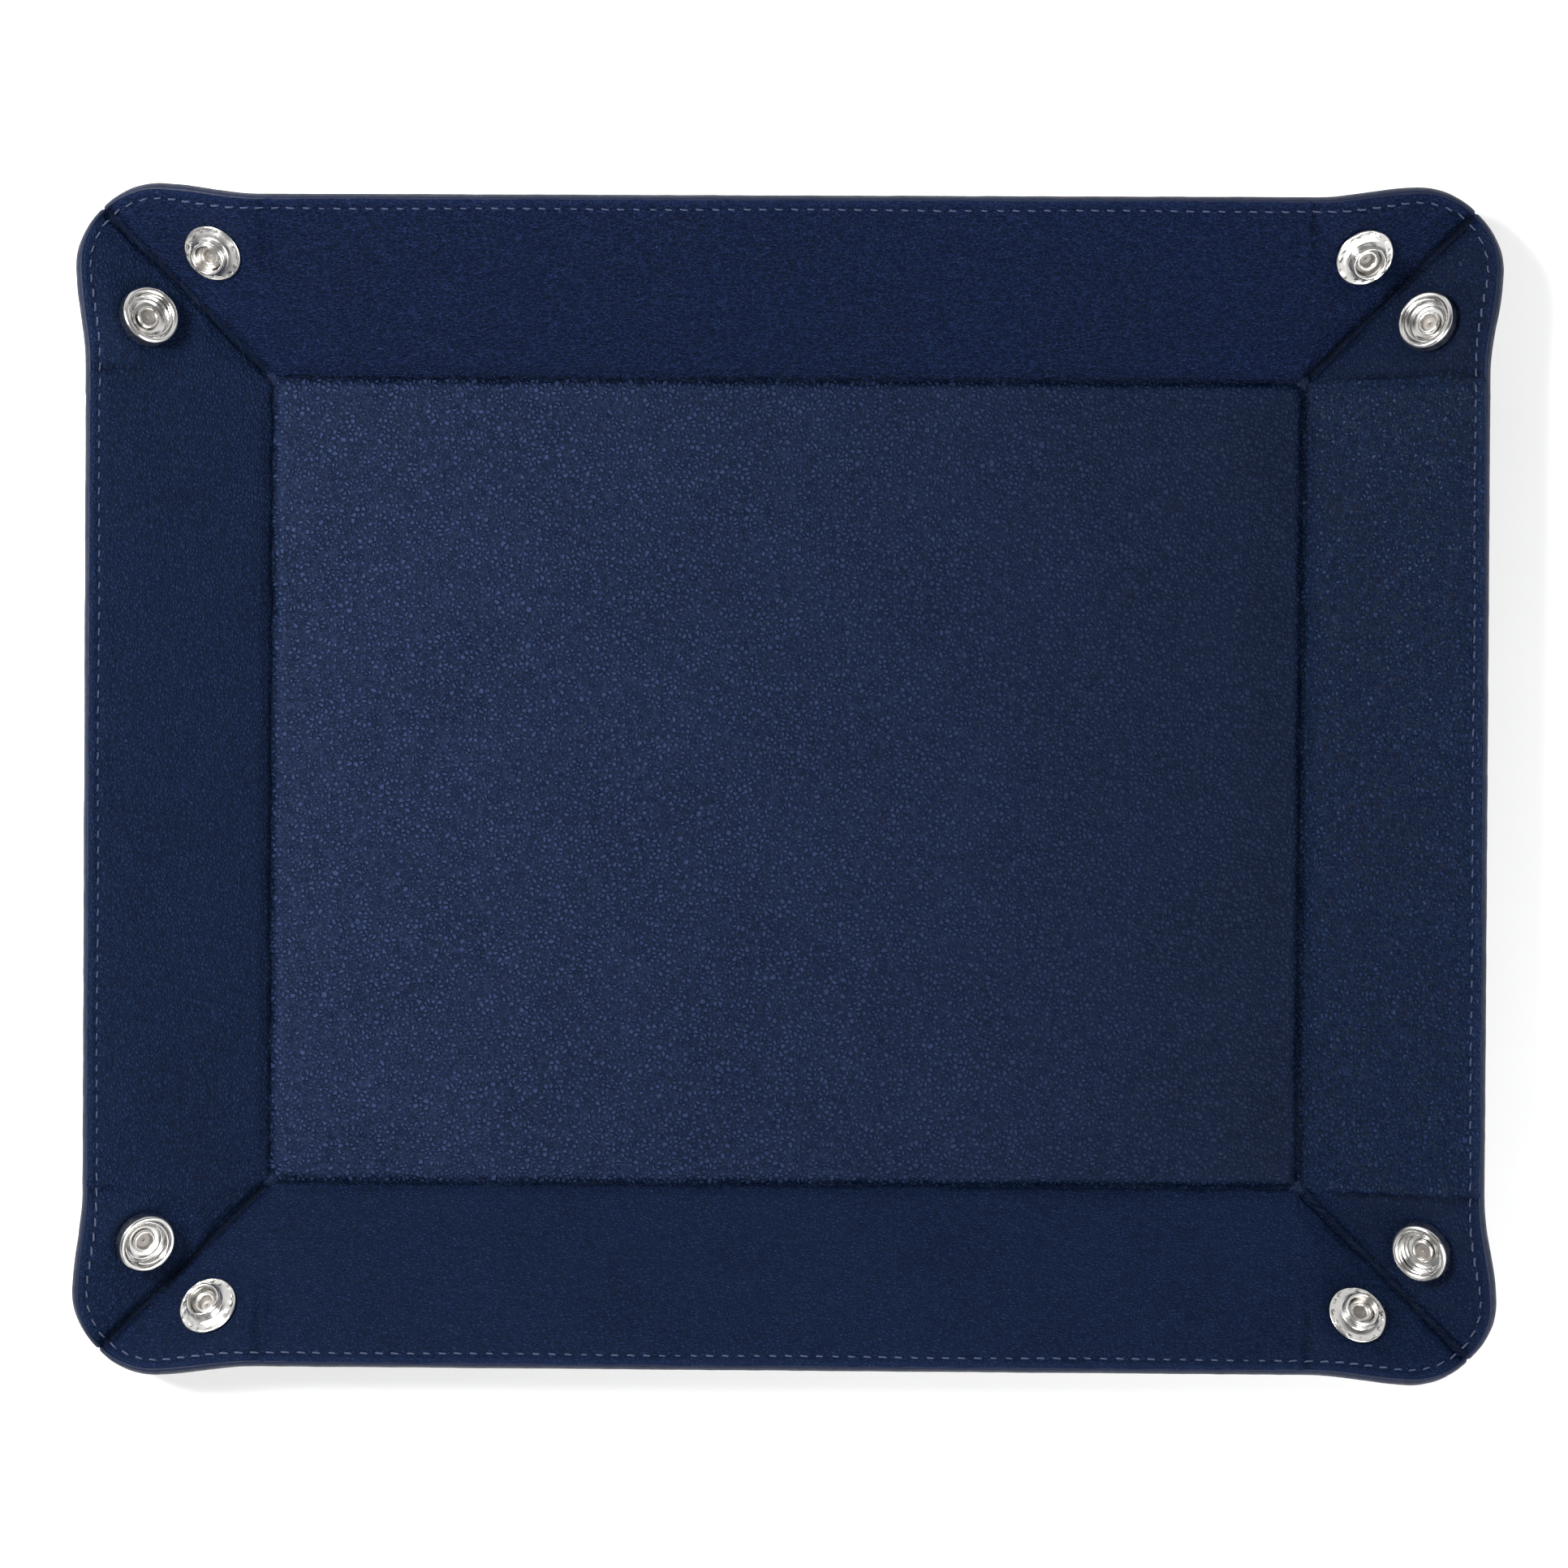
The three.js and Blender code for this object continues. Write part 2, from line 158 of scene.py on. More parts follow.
# The tray, as the CAD part has it. Heights are over the hinge surface, the lining's face at the creases.
BASE_LENGTH, BASE_WIDTH = 214.0, 167.0
WALL_HEIGHT = 40.0
CORNER_RADIUS = 18.0
REST_ANGLE = math.radians(24)
CLOSED_ANGLE = math.radians(78)
CLOSED_FOLD = math.radians(27.50725)
HINGE_HEIGHT = 2.85
LINING_BOTTOM = -1.3
OUTER_TOP, OUTER_BOTTOM = -1.55, -2.85
PANEL_RAISE = 1.25
SEAT_ACROSS, SEAT_ALONG, SEAT_DEPTH = 12.0, 27.0, 2.1
WEB_SPAN = math.pi / 4

# How the leather bends at the creases.
BASE_BEND = 3.0  # on each side of a base crease
CREASE_LIP = 0.3  # the base's grain starts this far inside the crease
END_BEND = 4.0  # on each side of an extension crease
END_LEAN = 0.1  # the web's skin starts inside the wall, on a line that leans this much
EDGE_SET = 0.4  # the leather ends this far inside the painted edge
ARC_START = WALL_HEIGHT - CORNER_RADIUS
CORNER_FLARE = 0.7  # how far the rim eases outwards at the diagonal, where two sides meet
DIAGONAL_BEVEL = 0.3  # the lining draws back from the diagonal by this much of its depth below the fold
DIAGONAL_GAP = 0.01
DIAGONAL_START = 0.25  # radians past the extension crease, where drawing the web onto the diagonal starts
STITCH_INSET = 2.5


def side_of(name, turn, ends, flare, fold):
    """One wall with its two webs. flare is how far their rims ease outwards, and fold how far up the wall
    the extension creases begin to show."""
    is_long = turn % 180 == 0
    half, reach = (BASE_LENGTH / 2, BASE_WIDTH / 2) if is_long else (BASE_WIDTH / 2, BASE_LENGTH / 2)
    return SimpleNamespace(name=name, turn=turn, half=half, reach=reach, ends={-1: ends[0], 1: ends[1]},
                           snap="stud" if is_long else "socket", flare=flare, fold=fold)


SIDES = (
    side_of("back", 0, ("left", "right"), flare=1.1, fold=20),
    side_of("left", 90, ("front", "back"), flare=1.2, fold=24),
    side_of("front", 180, ("right", "left"), flare=1.0, fold=20),
    side_of("right", 270, ("back", "front"), flare=1.6, fold=3),
)


def corner_name(side, hand):
    return f"{side.name}_{side.ends[hand]}"


# Small mathematics.

def smooth(t):
    t = np.clip(t, 0, 1)
    return t * t * (3 - 2 * t)


def bell(x, width):
    return np.exp(-((x / width) ** 2))


def round_turn(count):
    """Angles once round, without the last."""
    return np.linspace(0, 2 * math.pi, count, endpoint=False)


def unit(v):
    return v / np.linalg.norm(v, axis=-1, keepdims=True)


def turned_about(v, axis, angle):
    """v turned about a unit axis."""
    c, s = math.cos(angle), math.sin(angle)
    return v * c + np.cross(axis, v) * s + axis * np.dot(axis, v) * (1 - c)


LATTICES = {seed: np.random.default_rng(seed).uniform(-1, 1, (256, 256)) for seed in range(1, 9)}


def ripple(x, y, seed):
    """Smooth noise from -1 to 1, with about one feature to each unit of x and y."""
    x, y = np.broadcast_arrays(np.asarray(x, float), np.asarray(y, float))
    x, y = x + 37.7 * seed, y + 91.3 * seed
    xi, yi = np.floor(x).astype(int), np.floor(y).astype(int)
    fx, fy = smooth(x - xi), smooth(y - yi)
    table = LATTICES[seed]
    pick = lambda i, j: table[(xi + i) % 256, (yi + j) % 256]
    low = pick(0, 0) * (1 - fx) + pick(1, 0) * fx
    high = pick(0, 1) * (1 - fx) + pick(1, 1) * fx
    return low * (1 - fy) + high * fy


def graded(start, end, coarse, fine, marks, growth=0.3):
    """Places from start to end, fine near the marks and coarse away from them."""
    places = [start]
    while places[-1] < end:
        away = min(abs(places[-1] - mark) for mark in marks)
        places.append(places[-1] + min(coarse, fine + growth * away))
    places = np.array(places)
    return start + (places - start) * (end - start) / (places[-1] - start)


# The web's cone, in its wall's frame with the base's corner at the origin.

CONE_STEPS = 180


def cone_rays(turn):
    """The rays and normals of the cone, from the extension crease to the diagonal."""
    step = WEB_SPAN / CONE_STEPS
    ray, side, normal = np.eye(3)[1], np.eye(3)[0], np.eye(3)[2]
    rays, normals = [ray], [normal]
    for k in range(CONE_STEPS):
        ray, side = turned_about(ray, normal, -step), turned_about(side, normal, -step)
        part = 2 * turn * (1 - (k + 0.5) / CONE_STEPS) / CONE_STEPS
        side, normal = turned_about(side, ray, part), turned_about(normal, ray, part)
        rays.append(ray)
        normals.append(normal)
    return np.array(rays), np.array(normals)


def diagonal_plane(angle):
    """The normal of the vertical plane through the diagonal, in the frame of a wall at this angle."""
    return unit(np.array([1, -math.cos(angle), math.sin(angle)]))


def find_cone():
    """The cone whose last ray lies in the diagonal's plane at rest."""
    low, high = 0.0, 0.6
    for _ in range(40):
        middle = (low + high) / 2
        rays, normals = cone_rays(middle)
        if rays[-1] @ diagonal_plane(REST_ANGLE) > 0:
            low = middle
        else:
            high = middle
    return rays, normals


RAYS, NORMALS = find_cone()


def along_cone(table, angle):
    place = np.clip(angle / WEB_SPAN, 0, 1) * CONE_STEPS
    index = np.minimum(place.astype(int), CONE_STEPS - 1)
    part = (place - index)[..., None]
    return unit(table[index] * (1 - part) + table[index + 1] * part)


def find_seat():
    normal = turned_about(diagonal_plane(CLOSED_ANGLE), np.eye(3)[1], -CLOSED_FOLD)
    angle = np.array(math.atan2(SEAT_ACROSS, SEAT_ALONG))
    centre = math.hypot(SEAT_ACROSS, SEAT_ALONG) * along_cone(RAYS, angle)
    centre = centre + normal * (-SEAT_DEPTH - centre @ normal)
    surface = along_cone(NORMALS, angle)
    along = np.eye(3)[1] - surface * surface[1]
    along = unit(along - normal * (along @ normal))
    return centre, np.cross(along, normal), along, normal


SEAT_CENTRE, SEAT_ACROSS_WAY, SEAT_ALONG_WAY, SEAT_NORMAL = find_seat()
SEAT_FLAT = 6.9  # flat out to here, then the leather eases back to the cone
SEAT_EASE = 14.0
SEAT_PAST_CREASE, SEAT_TO_RIM, SEAT_TO_DIAGONAL = 2.5, 12.4, 16.5  # and it may reach no further than these


def seat_weight(a, b):
    """1 on the flat seat, easing to 0 further out, sooner towards the crease, the rim and the diagonal."""
    across, along = a - SEAT_ACROSS, b - SEAT_ALONG
    away = np.hypot(across, along) + 1e-9
    across, along = across / away, along / away
    reach = SEAT_EASE
    for towards, limit in ((-across, SEAT_ACROSS + SEAT_PAST_CREASE), (along, SEAT_TO_RIM),
                           ((across - along) / math.sqrt(2), SEAT_TO_DIAGONAL)):
        reach = np.minimum(reach, np.where(towards > 0, limit / np.maximum(towards, 1e-6), SEAT_EASE))
    return smooth((reach - away) / (reach - SEAT_FLAT))


# From the flat sheet to the rest shape. a is the distance beyond the wall's end, b the distance from the
# base crease, and h the height over the hinge surface. hand is -1 or 1, for the wall's two ends.

def web_angle(a, b):
    """The angle at the base's corner, from the extension crease."""
    return np.where(a > 0, np.arctan2(np.maximum(a, 0), np.maximum(b, 1e-9)), 0)


def web_shape(a, b, h):
    radius, angle = np.hypot(a, b), web_angle(a, b)
    height = h[..., None]
    cone = radius[..., None] * along_cone(RAYS, angle) + height * along_cone(NORMALS, angle)
    point = np.where((a > 0)[..., None], cone, np.stack([a, b, h], -1))
    seat = (SEAT_CENTRE + (a - SEAT_ACROSS)[..., None] * SEAT_ACROSS_WAY
            + (b - SEAT_ALONG)[..., None] * SEAT_ALONG_WAY + height * SEAT_NORMAL)
    weight = seat_weight(a, b)[..., None]
    point = point * (1 - weight) + seat * weight
    x, y, z = point[..., 0], point[..., 1], point[..., 2]
    turn = REST_ANGLE * smooth((np.where(a > 0, y, b) + BASE_BEND) / (2 * BASE_BEND))
    return x, y * np.cos(turn) - z * np.sin(turn), y * np.sin(turn) + z * np.cos(turn)


def to_tray(side, x, y, z):
    c, s = round(math.cos(math.radians(side.turn))), round(math.sin(math.radians(side.turn)))
    return np.stack([x * c - y * s, x * s + y * c, z], -1)


def side_point(side, hand, a, b, h, held=None):
    """The rest place of points of one side's sheet. The edge at the diagonal is brought onto its plane, at
    the points' own heights, or all by the amount that the height held needs."""
    a, b, h = np.broadcast_arrays(*(np.asarray(v, float) for v in (a, b, h)))
    x, y, z = web_shape(a, b, h)
    edge = np.hypot(a, b) / math.sqrt(2)
    edge_x, edge_y, _ = web_shape(edge, edge, h if held is None else np.full_like(h, held))
    below = np.maximum(-h, 0) if held is None else 0
    off = (edge_y - edge_x) / 2 - DIAGONAL_GAP - DIAGONAL_BEVEL * below
    off = off * smooth((web_angle(a, b) - DIAGONAL_START) / (WEB_SPAN - DIAGONAL_START))
    x, y = x + off, y - off

    # The rim's easing outwards: the side's own flare, and the common one near the diagonal.
    open_side = smooth((b - a) / 12)
    reach = smooth((a - 2) / 18) * (np.clip(b, 0, WALL_HEIGHT) / WALL_HEIGHT) ** 2 * (1 - seat_weight(a, b))
    outward = (side.flare * open_side + CORNER_FLARE * (1 - open_side)) * reach
    x, y, z = x + CORNER_FLARE * (1 - open_side) * reach, y + outward, z - 0.35 * outward
    return to_tray(side, hand * (side.half + x), side.reach + y, HINGE_HEIGHT + z)


def sheet_place(side, hand, a, b):
    flat = to_tray(side, hand * (side.half + a), side.reach + b, np.zeros_like(a))
    return flat[..., :2] / SHEET_UNIT


# The relief of the leather's faces, in millimetres, over the flat sheet.

def rim_distance(a, b):
    """How far in from the rim, which is straight along the wall and an arc at the corner."""
    arc = CORNER_RADIUS - np.hypot(a - ARC_START, b - ARC_START)
    return np.where((a > ARC_START) & (b > ARC_START), arc, WALL_HEIGHT - b)


def base_raise(inside_x, inside_y):
    """How far the board lifts the base's lining: most of it at the shoulder, the rest further in."""
    shoulder = smooth((inside_x - 0.3) / 2.0) * smooth((inside_y - 0.3) / 2.0)
    crown = smooth((inside_x - 2.5) / 9) * smooth((inside_y - 2.5) / 9)
    return PANEL_RAISE * (0.62 * shoulder + 0.38 * crown)


def wall_raise(a, b):
    """The same for a wall, where the lining runs on smoothly past the board's ends and top."""
    near = smooth((b - 0.3) / 3.2)
    over = smooth((WALL_HEIGHT - 2.2 - b) / 9) * smooth((-a - 0.5) / 13)
    return near * (0.18 * smooth((-a - 0.5) / 6) + 0.42 * over)


def panel_raise(a, b):
    """How far the boards lift the lining's face."""
    return np.where(b < 0, base_raise(-a, -b), wall_raise(a, b))


def under_raise(a, b):
    """The lining's hidden face, clear of the board."""
    over = smooth((b - 0.35) / 3.6) * smooth((WALL_HEIGHT - 2.9 - b) / 3.4) * smooth((-a - 0.8) / 3.4)
    return 1.02 * np.where(b < 0, 0, over)


def lining_relief(side, hand, a, b):
    x = hand * (side.half + a) + side.turn * 3.1
    rim = rim_distance(a, b)
    corner = np.hypot(a, np.maximum(b, 0)) + 1e-6
    window = np.where(b < 0, smooth((BASE_BEND + b) / 1.4), 1)

    # The base crease: a narrow, uneven groove with short puckers across it.
    wander = 0.32 * ripple(x / 7, 0, 1) + 0.16 * ripple(x / 1.9, 0, 2)
    depth = 0.6 + 0.2 * ripple(x / 5, 3, 3) + 0.14 * ripple(x / 1.4, 5, 4)
    out = -depth * bell(b - wander, 0.5) * window * smooth((-a + 2.0) / 2)
    pucker = ripple(x / 0.95, b / 1.7, 5) * (0.55 + 0.45 * ripple(x / 9, 1, 6))
    out = out + 0.13 * pucker * bell(b - 0.3, 2.0) * window * smooth((-a + 2.0) / 2)

    # The diagonal: sharp near the corner and at the rim, and soft in between, with creases along it.
    off_diagonal = np.maximum(b - a, 0) / math.sqrt(2)
    sharp = np.maximum(smooth((19 - corner) / 8), smooth((corner - 34) / 7))
    wobble = 0.25 * ripple(corner / 3.1, hand + side.turn, 7)
    web_only = smooth((a + 1.5) / 3) * smooth(b / 1.0)
    line = 0.55 + 0.3 * sharp + 0.14 * ripple(corner / 1.6, hand, 1)
    out = out - web_only * (line * bell(off_diagonal - 0.1 * wobble, 0.75) + 0.55 * bell(off_diagonal, 2.8))
    lines = ripple(off_diagonal / 1.15 + wobble, corner / 7.5 + hand, 4)
    near = bell(off_diagonal - 1.0, 3.2) * smooth(off_diagonal / 0.7)
    out = out + web_only * 0.24 * lines * (0.35 + 0.65 * sharp) * near

    # Gathers round the base's corner.
    fan = np.arctan2(a, np.maximum(b, 1e-6))
    near = bell(corner - 3.5, 4.0) * smooth(corner / 3) * (b > 0)
    out = out + 0.2 * ripple(fan * 6.5, corner / 3.2, 2) * near

    # The extension crease shows from the rim inwards.
    ridge = bell(a + 0.2 * ripple(b / 3, hand, 3), 0.75) - 0.9 * bell(a - 1.1, 0.8)
    shown = smooth((b - side.fold) / 10)
    out = out + 0.36 * ridge * shown + 0.14 * ripple(a / 0.9, b / 2.6 + hand, 3) * bell(a, 2.2) * shown
    out = out + 0.07 * ripple(a / 1.2, b / 5, 8) * bell(a, 5) * smooth((b - 10) / 12)

    # Slow unevenness, then the stitched channel and the rounded rim.
    out = out + 0.13 * ripple(x / 13, b / 8, 6) * smooth((b - 3) / 6) * smooth(rim / 5)
    out = out + 0.05 * ripple(x / 4.5, b / 3.4, 7) * smooth((b - 2) / 4) * smooth(rim / 4)
    out = out - 0.26 * bell(rim - STITCH_INSET, 0.75)
    out = out + 0.05 * ripple(x / 1.6, rim / 1.3, 1) * bell(rim - STITCH_INSET, 1.6)
    out = out - 0.34 * smooth((1.5 - rim) / 1.1) ** 2

    # The leather is drawn down under a press stud's flange and gathers a little around it.
    away = np.hypot(a - SEAT_ACROSS, b - SEAT_ALONG)
    spokes = ripple(np.arctan2(b - SEAT_ALONG, a - SEAT_ACROSS) * 2.6, hand + side.turn / 9, 5)
    out = out - 0.14 * smooth((7.2 - away) / 1.0)
    out = out + 0.12 * (1 + 0.8 * spokes) * bell(away - 8.2, 1.3) * web_only
    return out + panel_raise(a, b)


def outer_relief(side, hand, a, b):
    """The underside's relief: the stitched channel, the rounded rim and slow unevenness."""
    x = hand * (side.half + a) + side.turn * 5.3
    rim = rim_distance(a, b)
    stitched = 0.22 * bell(rim - STITCH_INSET, 0.75) + 0.3 * smooth((1.5 - rim) / 1.1) ** 2
    slow = 0.06 * ripple(x / 11, b / 9, 3) * smooth((b - 3) / 6) * smooth(rim / 5)
    return stitched + slow


def wear_and_shade_of(side, a, b):
    """Lighter where hands and the table rub, above 0, which at the base's shoulder is partly a painted highlight, and
    painted shade that darkens the bottoms of the creases, the diagonal and the extension creases, below it.
    """
    rim = bell(rim_distance(a, b) - 0.9, 0.9)
    # The base's shoulder: rubbed, and partly a painted highlight along the crease's lower edge.
    shoulder = bell(-b - 1.5, 0.8) * smooth((-a - 1) / 3)
    # Painted shade: darker in the bottoms of the base creases, along the diagonal and along the extension creases.
    creases = bell(b, 0.85) * (a < 0) + 0.7 * bell((b - a) / math.sqrt(2), 0.9) * smooth(a / 3)
    folds = bell(a - 1.1, 0.7) * smooth((b - side.fold) / 10)
    return np.clip(rim + 0.4 * shoulder, 0, 1) - 1.5 * np.clip(creases + 0.6 * folds, 0, 1)


# Meshes.

def finish_mesh(name, points, faces, material, flat=None, wear=None, crease=50):
    """A closed mesh from points in millimetres and arrays of faces, with its normals out."""
    points = np.asarray(points, float).reshape(-1, 3)
    volume = 0
    for f in faces:
        corners = points[f]
        for k in range(1, f.shape[1] - 1):
            volume += np.einsum("ij,ij->", corners[:, 0], np.cross(corners[:, k], corners[:, k + 1]))
    if volume < 0:
        faces = [f[:, ::-1] for f in faces]
    mesh = bpy.data.meshes.new(name)
    corner = np.concatenate([f.ravel() for f in faces]).astype(np.int32)
    sizes = np.concatenate([np.full(len(f), f.shape[1]) for f in faces])
    mesh.vertices.add(len(points))
    mesh.vertices.foreach_set("co", (points * MM).astype(np.float32).ravel())
    mesh.loops.add(len(corner))
    mesh.loops.foreach_set("vertex_index", corner)
    mesh.polygons.add(len(sizes))
    mesh.polygons.foreach_set("loop_start", np.concatenate([[0], np.cumsum(sizes)[:-1]]).astype(np.int32))
    if flat is not None:
        layer = mesh.uv_layers.new(name="sheet")
        layer.data.foreach_set("uv", np.asarray(flat, np.float32).reshape(-1, 2)[corner].ravel())
    if wear is not None:
        layer = mesh.attributes.new("wear", "FLOAT", "POINT")
        layer.data.foreach_set("value", np.asarray(wear, np.float32).ravel())
    mesh.update(calc_edges=True)
    mesh.validate()
    mesh.shade_smooth()
    mesh.set_sharp_from_angle(angle=math.radians(crease))
    mesh.materials.append(material)
    piece = bpy.data.objects.new(name, mesh)
    bpy.context.scene.collection.objects.link(piece)
    return piece


def grid_faces(rows, columns, start=0):
    index = start + np.arange(rows * columns).reshape(rows, columns)
    return np.stack([index[:-1, :-1], index[:-1, 1:], index[1:, 1:], index[1:, :-1]], -1).reshape(-1, 4)


def shell(name, top, bottom, material, flat, wear=None):
    """A thin closed skin between two grids of points."""
    rows, columns = top.shape[:2]
    count = rows * columns
    index = np.arange(count).reshape(rows, columns)
    loop = np.concatenate([index[0, :-1], index[:-1, -1], index[-1, :0:-1], index[:0:-1, 0]])
    after = np.roll(loop, -1)
    faces = [
        grid_faces(rows, columns),
        grid_faces(rows, columns, count)[:, ::-1],
        np.stack([after, loop, loop + count, after + count], -1),
    ]
    points = np.concatenate([top.reshape(-1, 3), bottom.reshape(-1, 3)])
    wear = np.zeros(index.shape) if wear is None else wear
    flat, wear = (np.concatenate([v, v]) for v in (flat.reshape(-1, 2), wear.ravel()))
    return finish_mesh(name, points, faces, material, flat, wear)


def swept(points, closed_along=False):
    """Faces of a closed tube from a grid of points: rows along it, columns round it, ends capped."""
    rows, columns = points.shape[:2]
    index = np.arange(rows * columns).reshape(rows, columns)
    around = np.roll(index, -1, 1)
    faces = [np.stack([index[:-1], around[:-1], around[1:], index[1:]], -1).reshape(-1, 4)]
    if closed_along:
        faces.append(np.stack([index[-1], around[-1], around[0], index[0]], -1))
    else:
        faces += [index[:1, ::-1], index[-1:]]
    return faces


# Materials.

def add(tree, kind, inputs=None, **settings):
    made = tree.nodes.new("ShaderNode" + kind)
    for key, value in settings.items():
        setattr(made, key, value)
    for key, value in (inputs or {}).items():
        if isinstance(value, bpy.types.NodeSocket):
            tree.links.new(value, made.inputs[key])
        else:
            made.inputs[key].default_value = value
    return made


def plus(tree, first, second):
    return add(tree, "Math", {0: first, 1: second}, operation="ADD").outputs[0]


def times(tree, first, second):
    return add(tree, "Math", {0: first, 1: second}, operation="MULTIPLY").outputs[0]


def total(tree, first, *terms):
    """The first value and the terms, each a value and its weight."""
    for value, weight in terms:
        first = plus(tree, first, times(tree, value, weight))
    return first


def ranged(tree, value, low, high, to_low, to_high, interpolation="SMOOTHSTEP"):
    inputs = {"Value": value, "From Min": low, "From Max": high, "To Min": to_low, "To Max": to_high}
    return add(tree, "MapRange", inputs, interpolation_type=interpolation).outputs[0]


def mixed(tree, share, first, second):
    """A colour between two colours. 6 and 7 are the mix node's colour inputs, and 2 its colour output."""
    return add(tree, "Mix", {"Factor": share, 6: first, 7: second}, data_type="RGBA").outputs[2]


def noise(tree, place, scale, detail=2.0, roughness=0.5):
    inputs = {"Vector": place, "Scale": scale, "Detail": detail, "Roughness": roughness}
    return add(tree, "TexNoise", inputs).outputs["Fac"]


def scaled(tree, place, x, y, z=1.0):
    return add(tree, "Mapping", {"Vector": place, "Scale": (x, y, z)}).outputs[0]


def new_material(name, on_sheet=True, **shader_inputs):
    """A material, with its shader and the place that its textures follow: the flat sheet or the object."""
    material = bpy.data.materials.new(name)
    material.use_nodes = True
    tree = material.node_tree
    shader = tree.nodes["Principled BSDF"]
    for key, value in shader_inputs.items():
        shader.inputs[key.replace("_", " ")].default_value = value
    if on_sheet:
        place = add(tree, "UVMap", uv_map="sheet").outputs[0]
    else:
        place = add(tree, "TexCoord").outputs["Object"]
    return material, tree, shader, place


def give_bump(tree, shader, height):
    """The height is in millimetres."""
    bump = add(tree, "Bump", {"Height": height, "Distance": MM}).outputs[0]
    tree.links.new(bump, shader.inputs["Normal"])


def give_colour(tree, shader, share, first, second):
    tree.links.new(mixed(tree, share, first, second), shader.inputs["Base Color"])


def tone(red, green, blue):
    """A shader colour from a display colour of 0 to 255."""
    linear = [((c / 255 + 0.055) / 1.055) ** 2.4 if c > 10 else c / 255 / 12.92 for c in (red, green, blue)]
    return (*linear, 1.0)


def cells_of(tree, place, cell_mm, low, high, to_low, to_high):
    """Cells of about this size, by the distance from their edges."""
    inputs = {"Vector": place, "Scale": SHEET_UNIT / cell_mm, "Randomness": 1.0}
    edge = add(tree, "TexVoronoi", inputs, feature="DISTANCE_TO_EDGE").outputs["Distance"]
    return ranged(tree, edge, low, high, to_low, to_high)


def leather(name, deep, light, pebble_mm, pebble, fine, wrinkle,
            stretch=(1, 1), rough=0.5, specular=0.1, vein_highlights=0.2, light_and_grain_fade=0.0):
    """Grained leather. Depths are in millimetres: pebble for the cells, fine for the pores between them, wrinkle for
    longer drawn lines. veins are the pale lines along larger cells, lightened as painted highlights, and fade makes
    the grain stronger to the left and weaker to the right, and paints the colour lighter to the left and darker to the
    right as painted light from the left."""
    material, tree, shader, sheet = new_material(name, Specular_IOR_Level=specular)
    warp = {"Vector": sheet, "Scale": 45.0, "Detail": 4.0, "Roughness": 0.62}
    warp = add(tree, "TexNoise", warp).outputs["Color"]
    shift = add(tree, "VectorMath", {0: warp, 1: (0.5, 0.5, 0.5)}, operation="SUBTRACT").outputs[0]
    shift = add(tree, "VectorMath", {0: shift, "Scale": 0.012}, operation="SCALE").outputs[0]
    place = add(tree, "VectorMath", {0: sheet, 1: shift}, operation="ADD").outputs[0]
    drawn = scaled(tree, place, *stretch)
    cells = cells_of(tree, drawn, pebble_mm, 0.02, 0.30, 0.0, 1.0)
    pores = cells_of(tree, drawn, 0.43 * pebble_mm, 0.0, 0.3, 0.0, 1.0)
    dust = noise(tree, place, SHEET_UNIT / 0.22, 2.0, 0.6)
    # The pale vein lines: crackle of the grain, lightened as painted highlights on its ridges.
    vein_highlight = cells_of(tree, drawn, 1.9 * pebble_mm, 0.01, 0.1, 1.0, 0.0)
    vein_highlight = times(tree, vein_highlight, ranged(tree, dust, 0.4, 0.6, 0.2, 1.0))
    lines = noise(tree, scaled(tree, place, stretch[0] ** 2, stretch[1] ** 2), SHEET_UNIT / 2.4, 4.0, 0.62)
    patch = noise(tree, sheet, SHEET_UNIT / 26, 3.0, 0.55)
    across = add(tree, "SeparateXYZ", {0: sheet}).outputs["X"]
    # Lighter colour to the left and darker to the right: painted light from the left. The grain's bump is also
    # stronger to the left.
    level = ranged(tree, across, -1.1, 1.1, 1 + light_and_grain_fade, 1 - light_and_grain_fade, "LINEAR")
    strength = times(tree, ranged(tree, patch, 0.3, 0.7, 0.65, 1.15), level)

    height = times(tree, times(tree, cells, strength), pebble)
    give_bump(tree, shader, total(tree, height, (pores, fine), (dust, 0.5 * fine), (lines, wrinkle)))

    # The wear attribute lightens the colour where the leather rubs, and darkens it in the creases as painted shade.
    wear = add(tree, "Attribute", attribute_name="wear").outputs["Fac"]
    worn_and_shaded = times(tree, wear, ranged(tree, dust, 0.35, 0.7, 0.3, 1.0))
    # The colour is darker towards the cells' edges: painted shade in the grain's hollows.
    share = total(tree, times(tree, cells, 0.5), (lines, 0.3))
    share = plus(tree, share, ranged(tree, patch, 0.3, 0.7, -0.04, 0.10))
    share = times(tree, total(tree, share, (vein_highlight, vein_highlights)), level)
    give_colour(tree, shader, total(tree, share, (worn_and_shaded, 0.4)), deep, light)
    gloss = ranged(tree, patch, 0.3, 0.7, rough + 0.06, rough - 0.05)
    gloss = total(tree, gloss, (dust, 0.1), (cells, -0.08))
    tree.links.new(gloss, shader.inputs["Roughness"])
    return material


def edge_paint():
    material, tree, shader, sheet = new_material("edge_paint", Specular_IOR_Level=0.2)
    layers = noise(tree, sheet, SHEET_UNIT / 1.3, 4.0, 0.6)
    give_bump(tree, shader, times(tree, layers, 0.05))
    give_colour(tree, shader, layers, tone(9, 17, 36), tone(22, 32, 56))
    tree.links.new(ranged(tree, layers, 0.3, 0.7, 0.62, 0.48), shader.inputs["Roughness"])
    return material


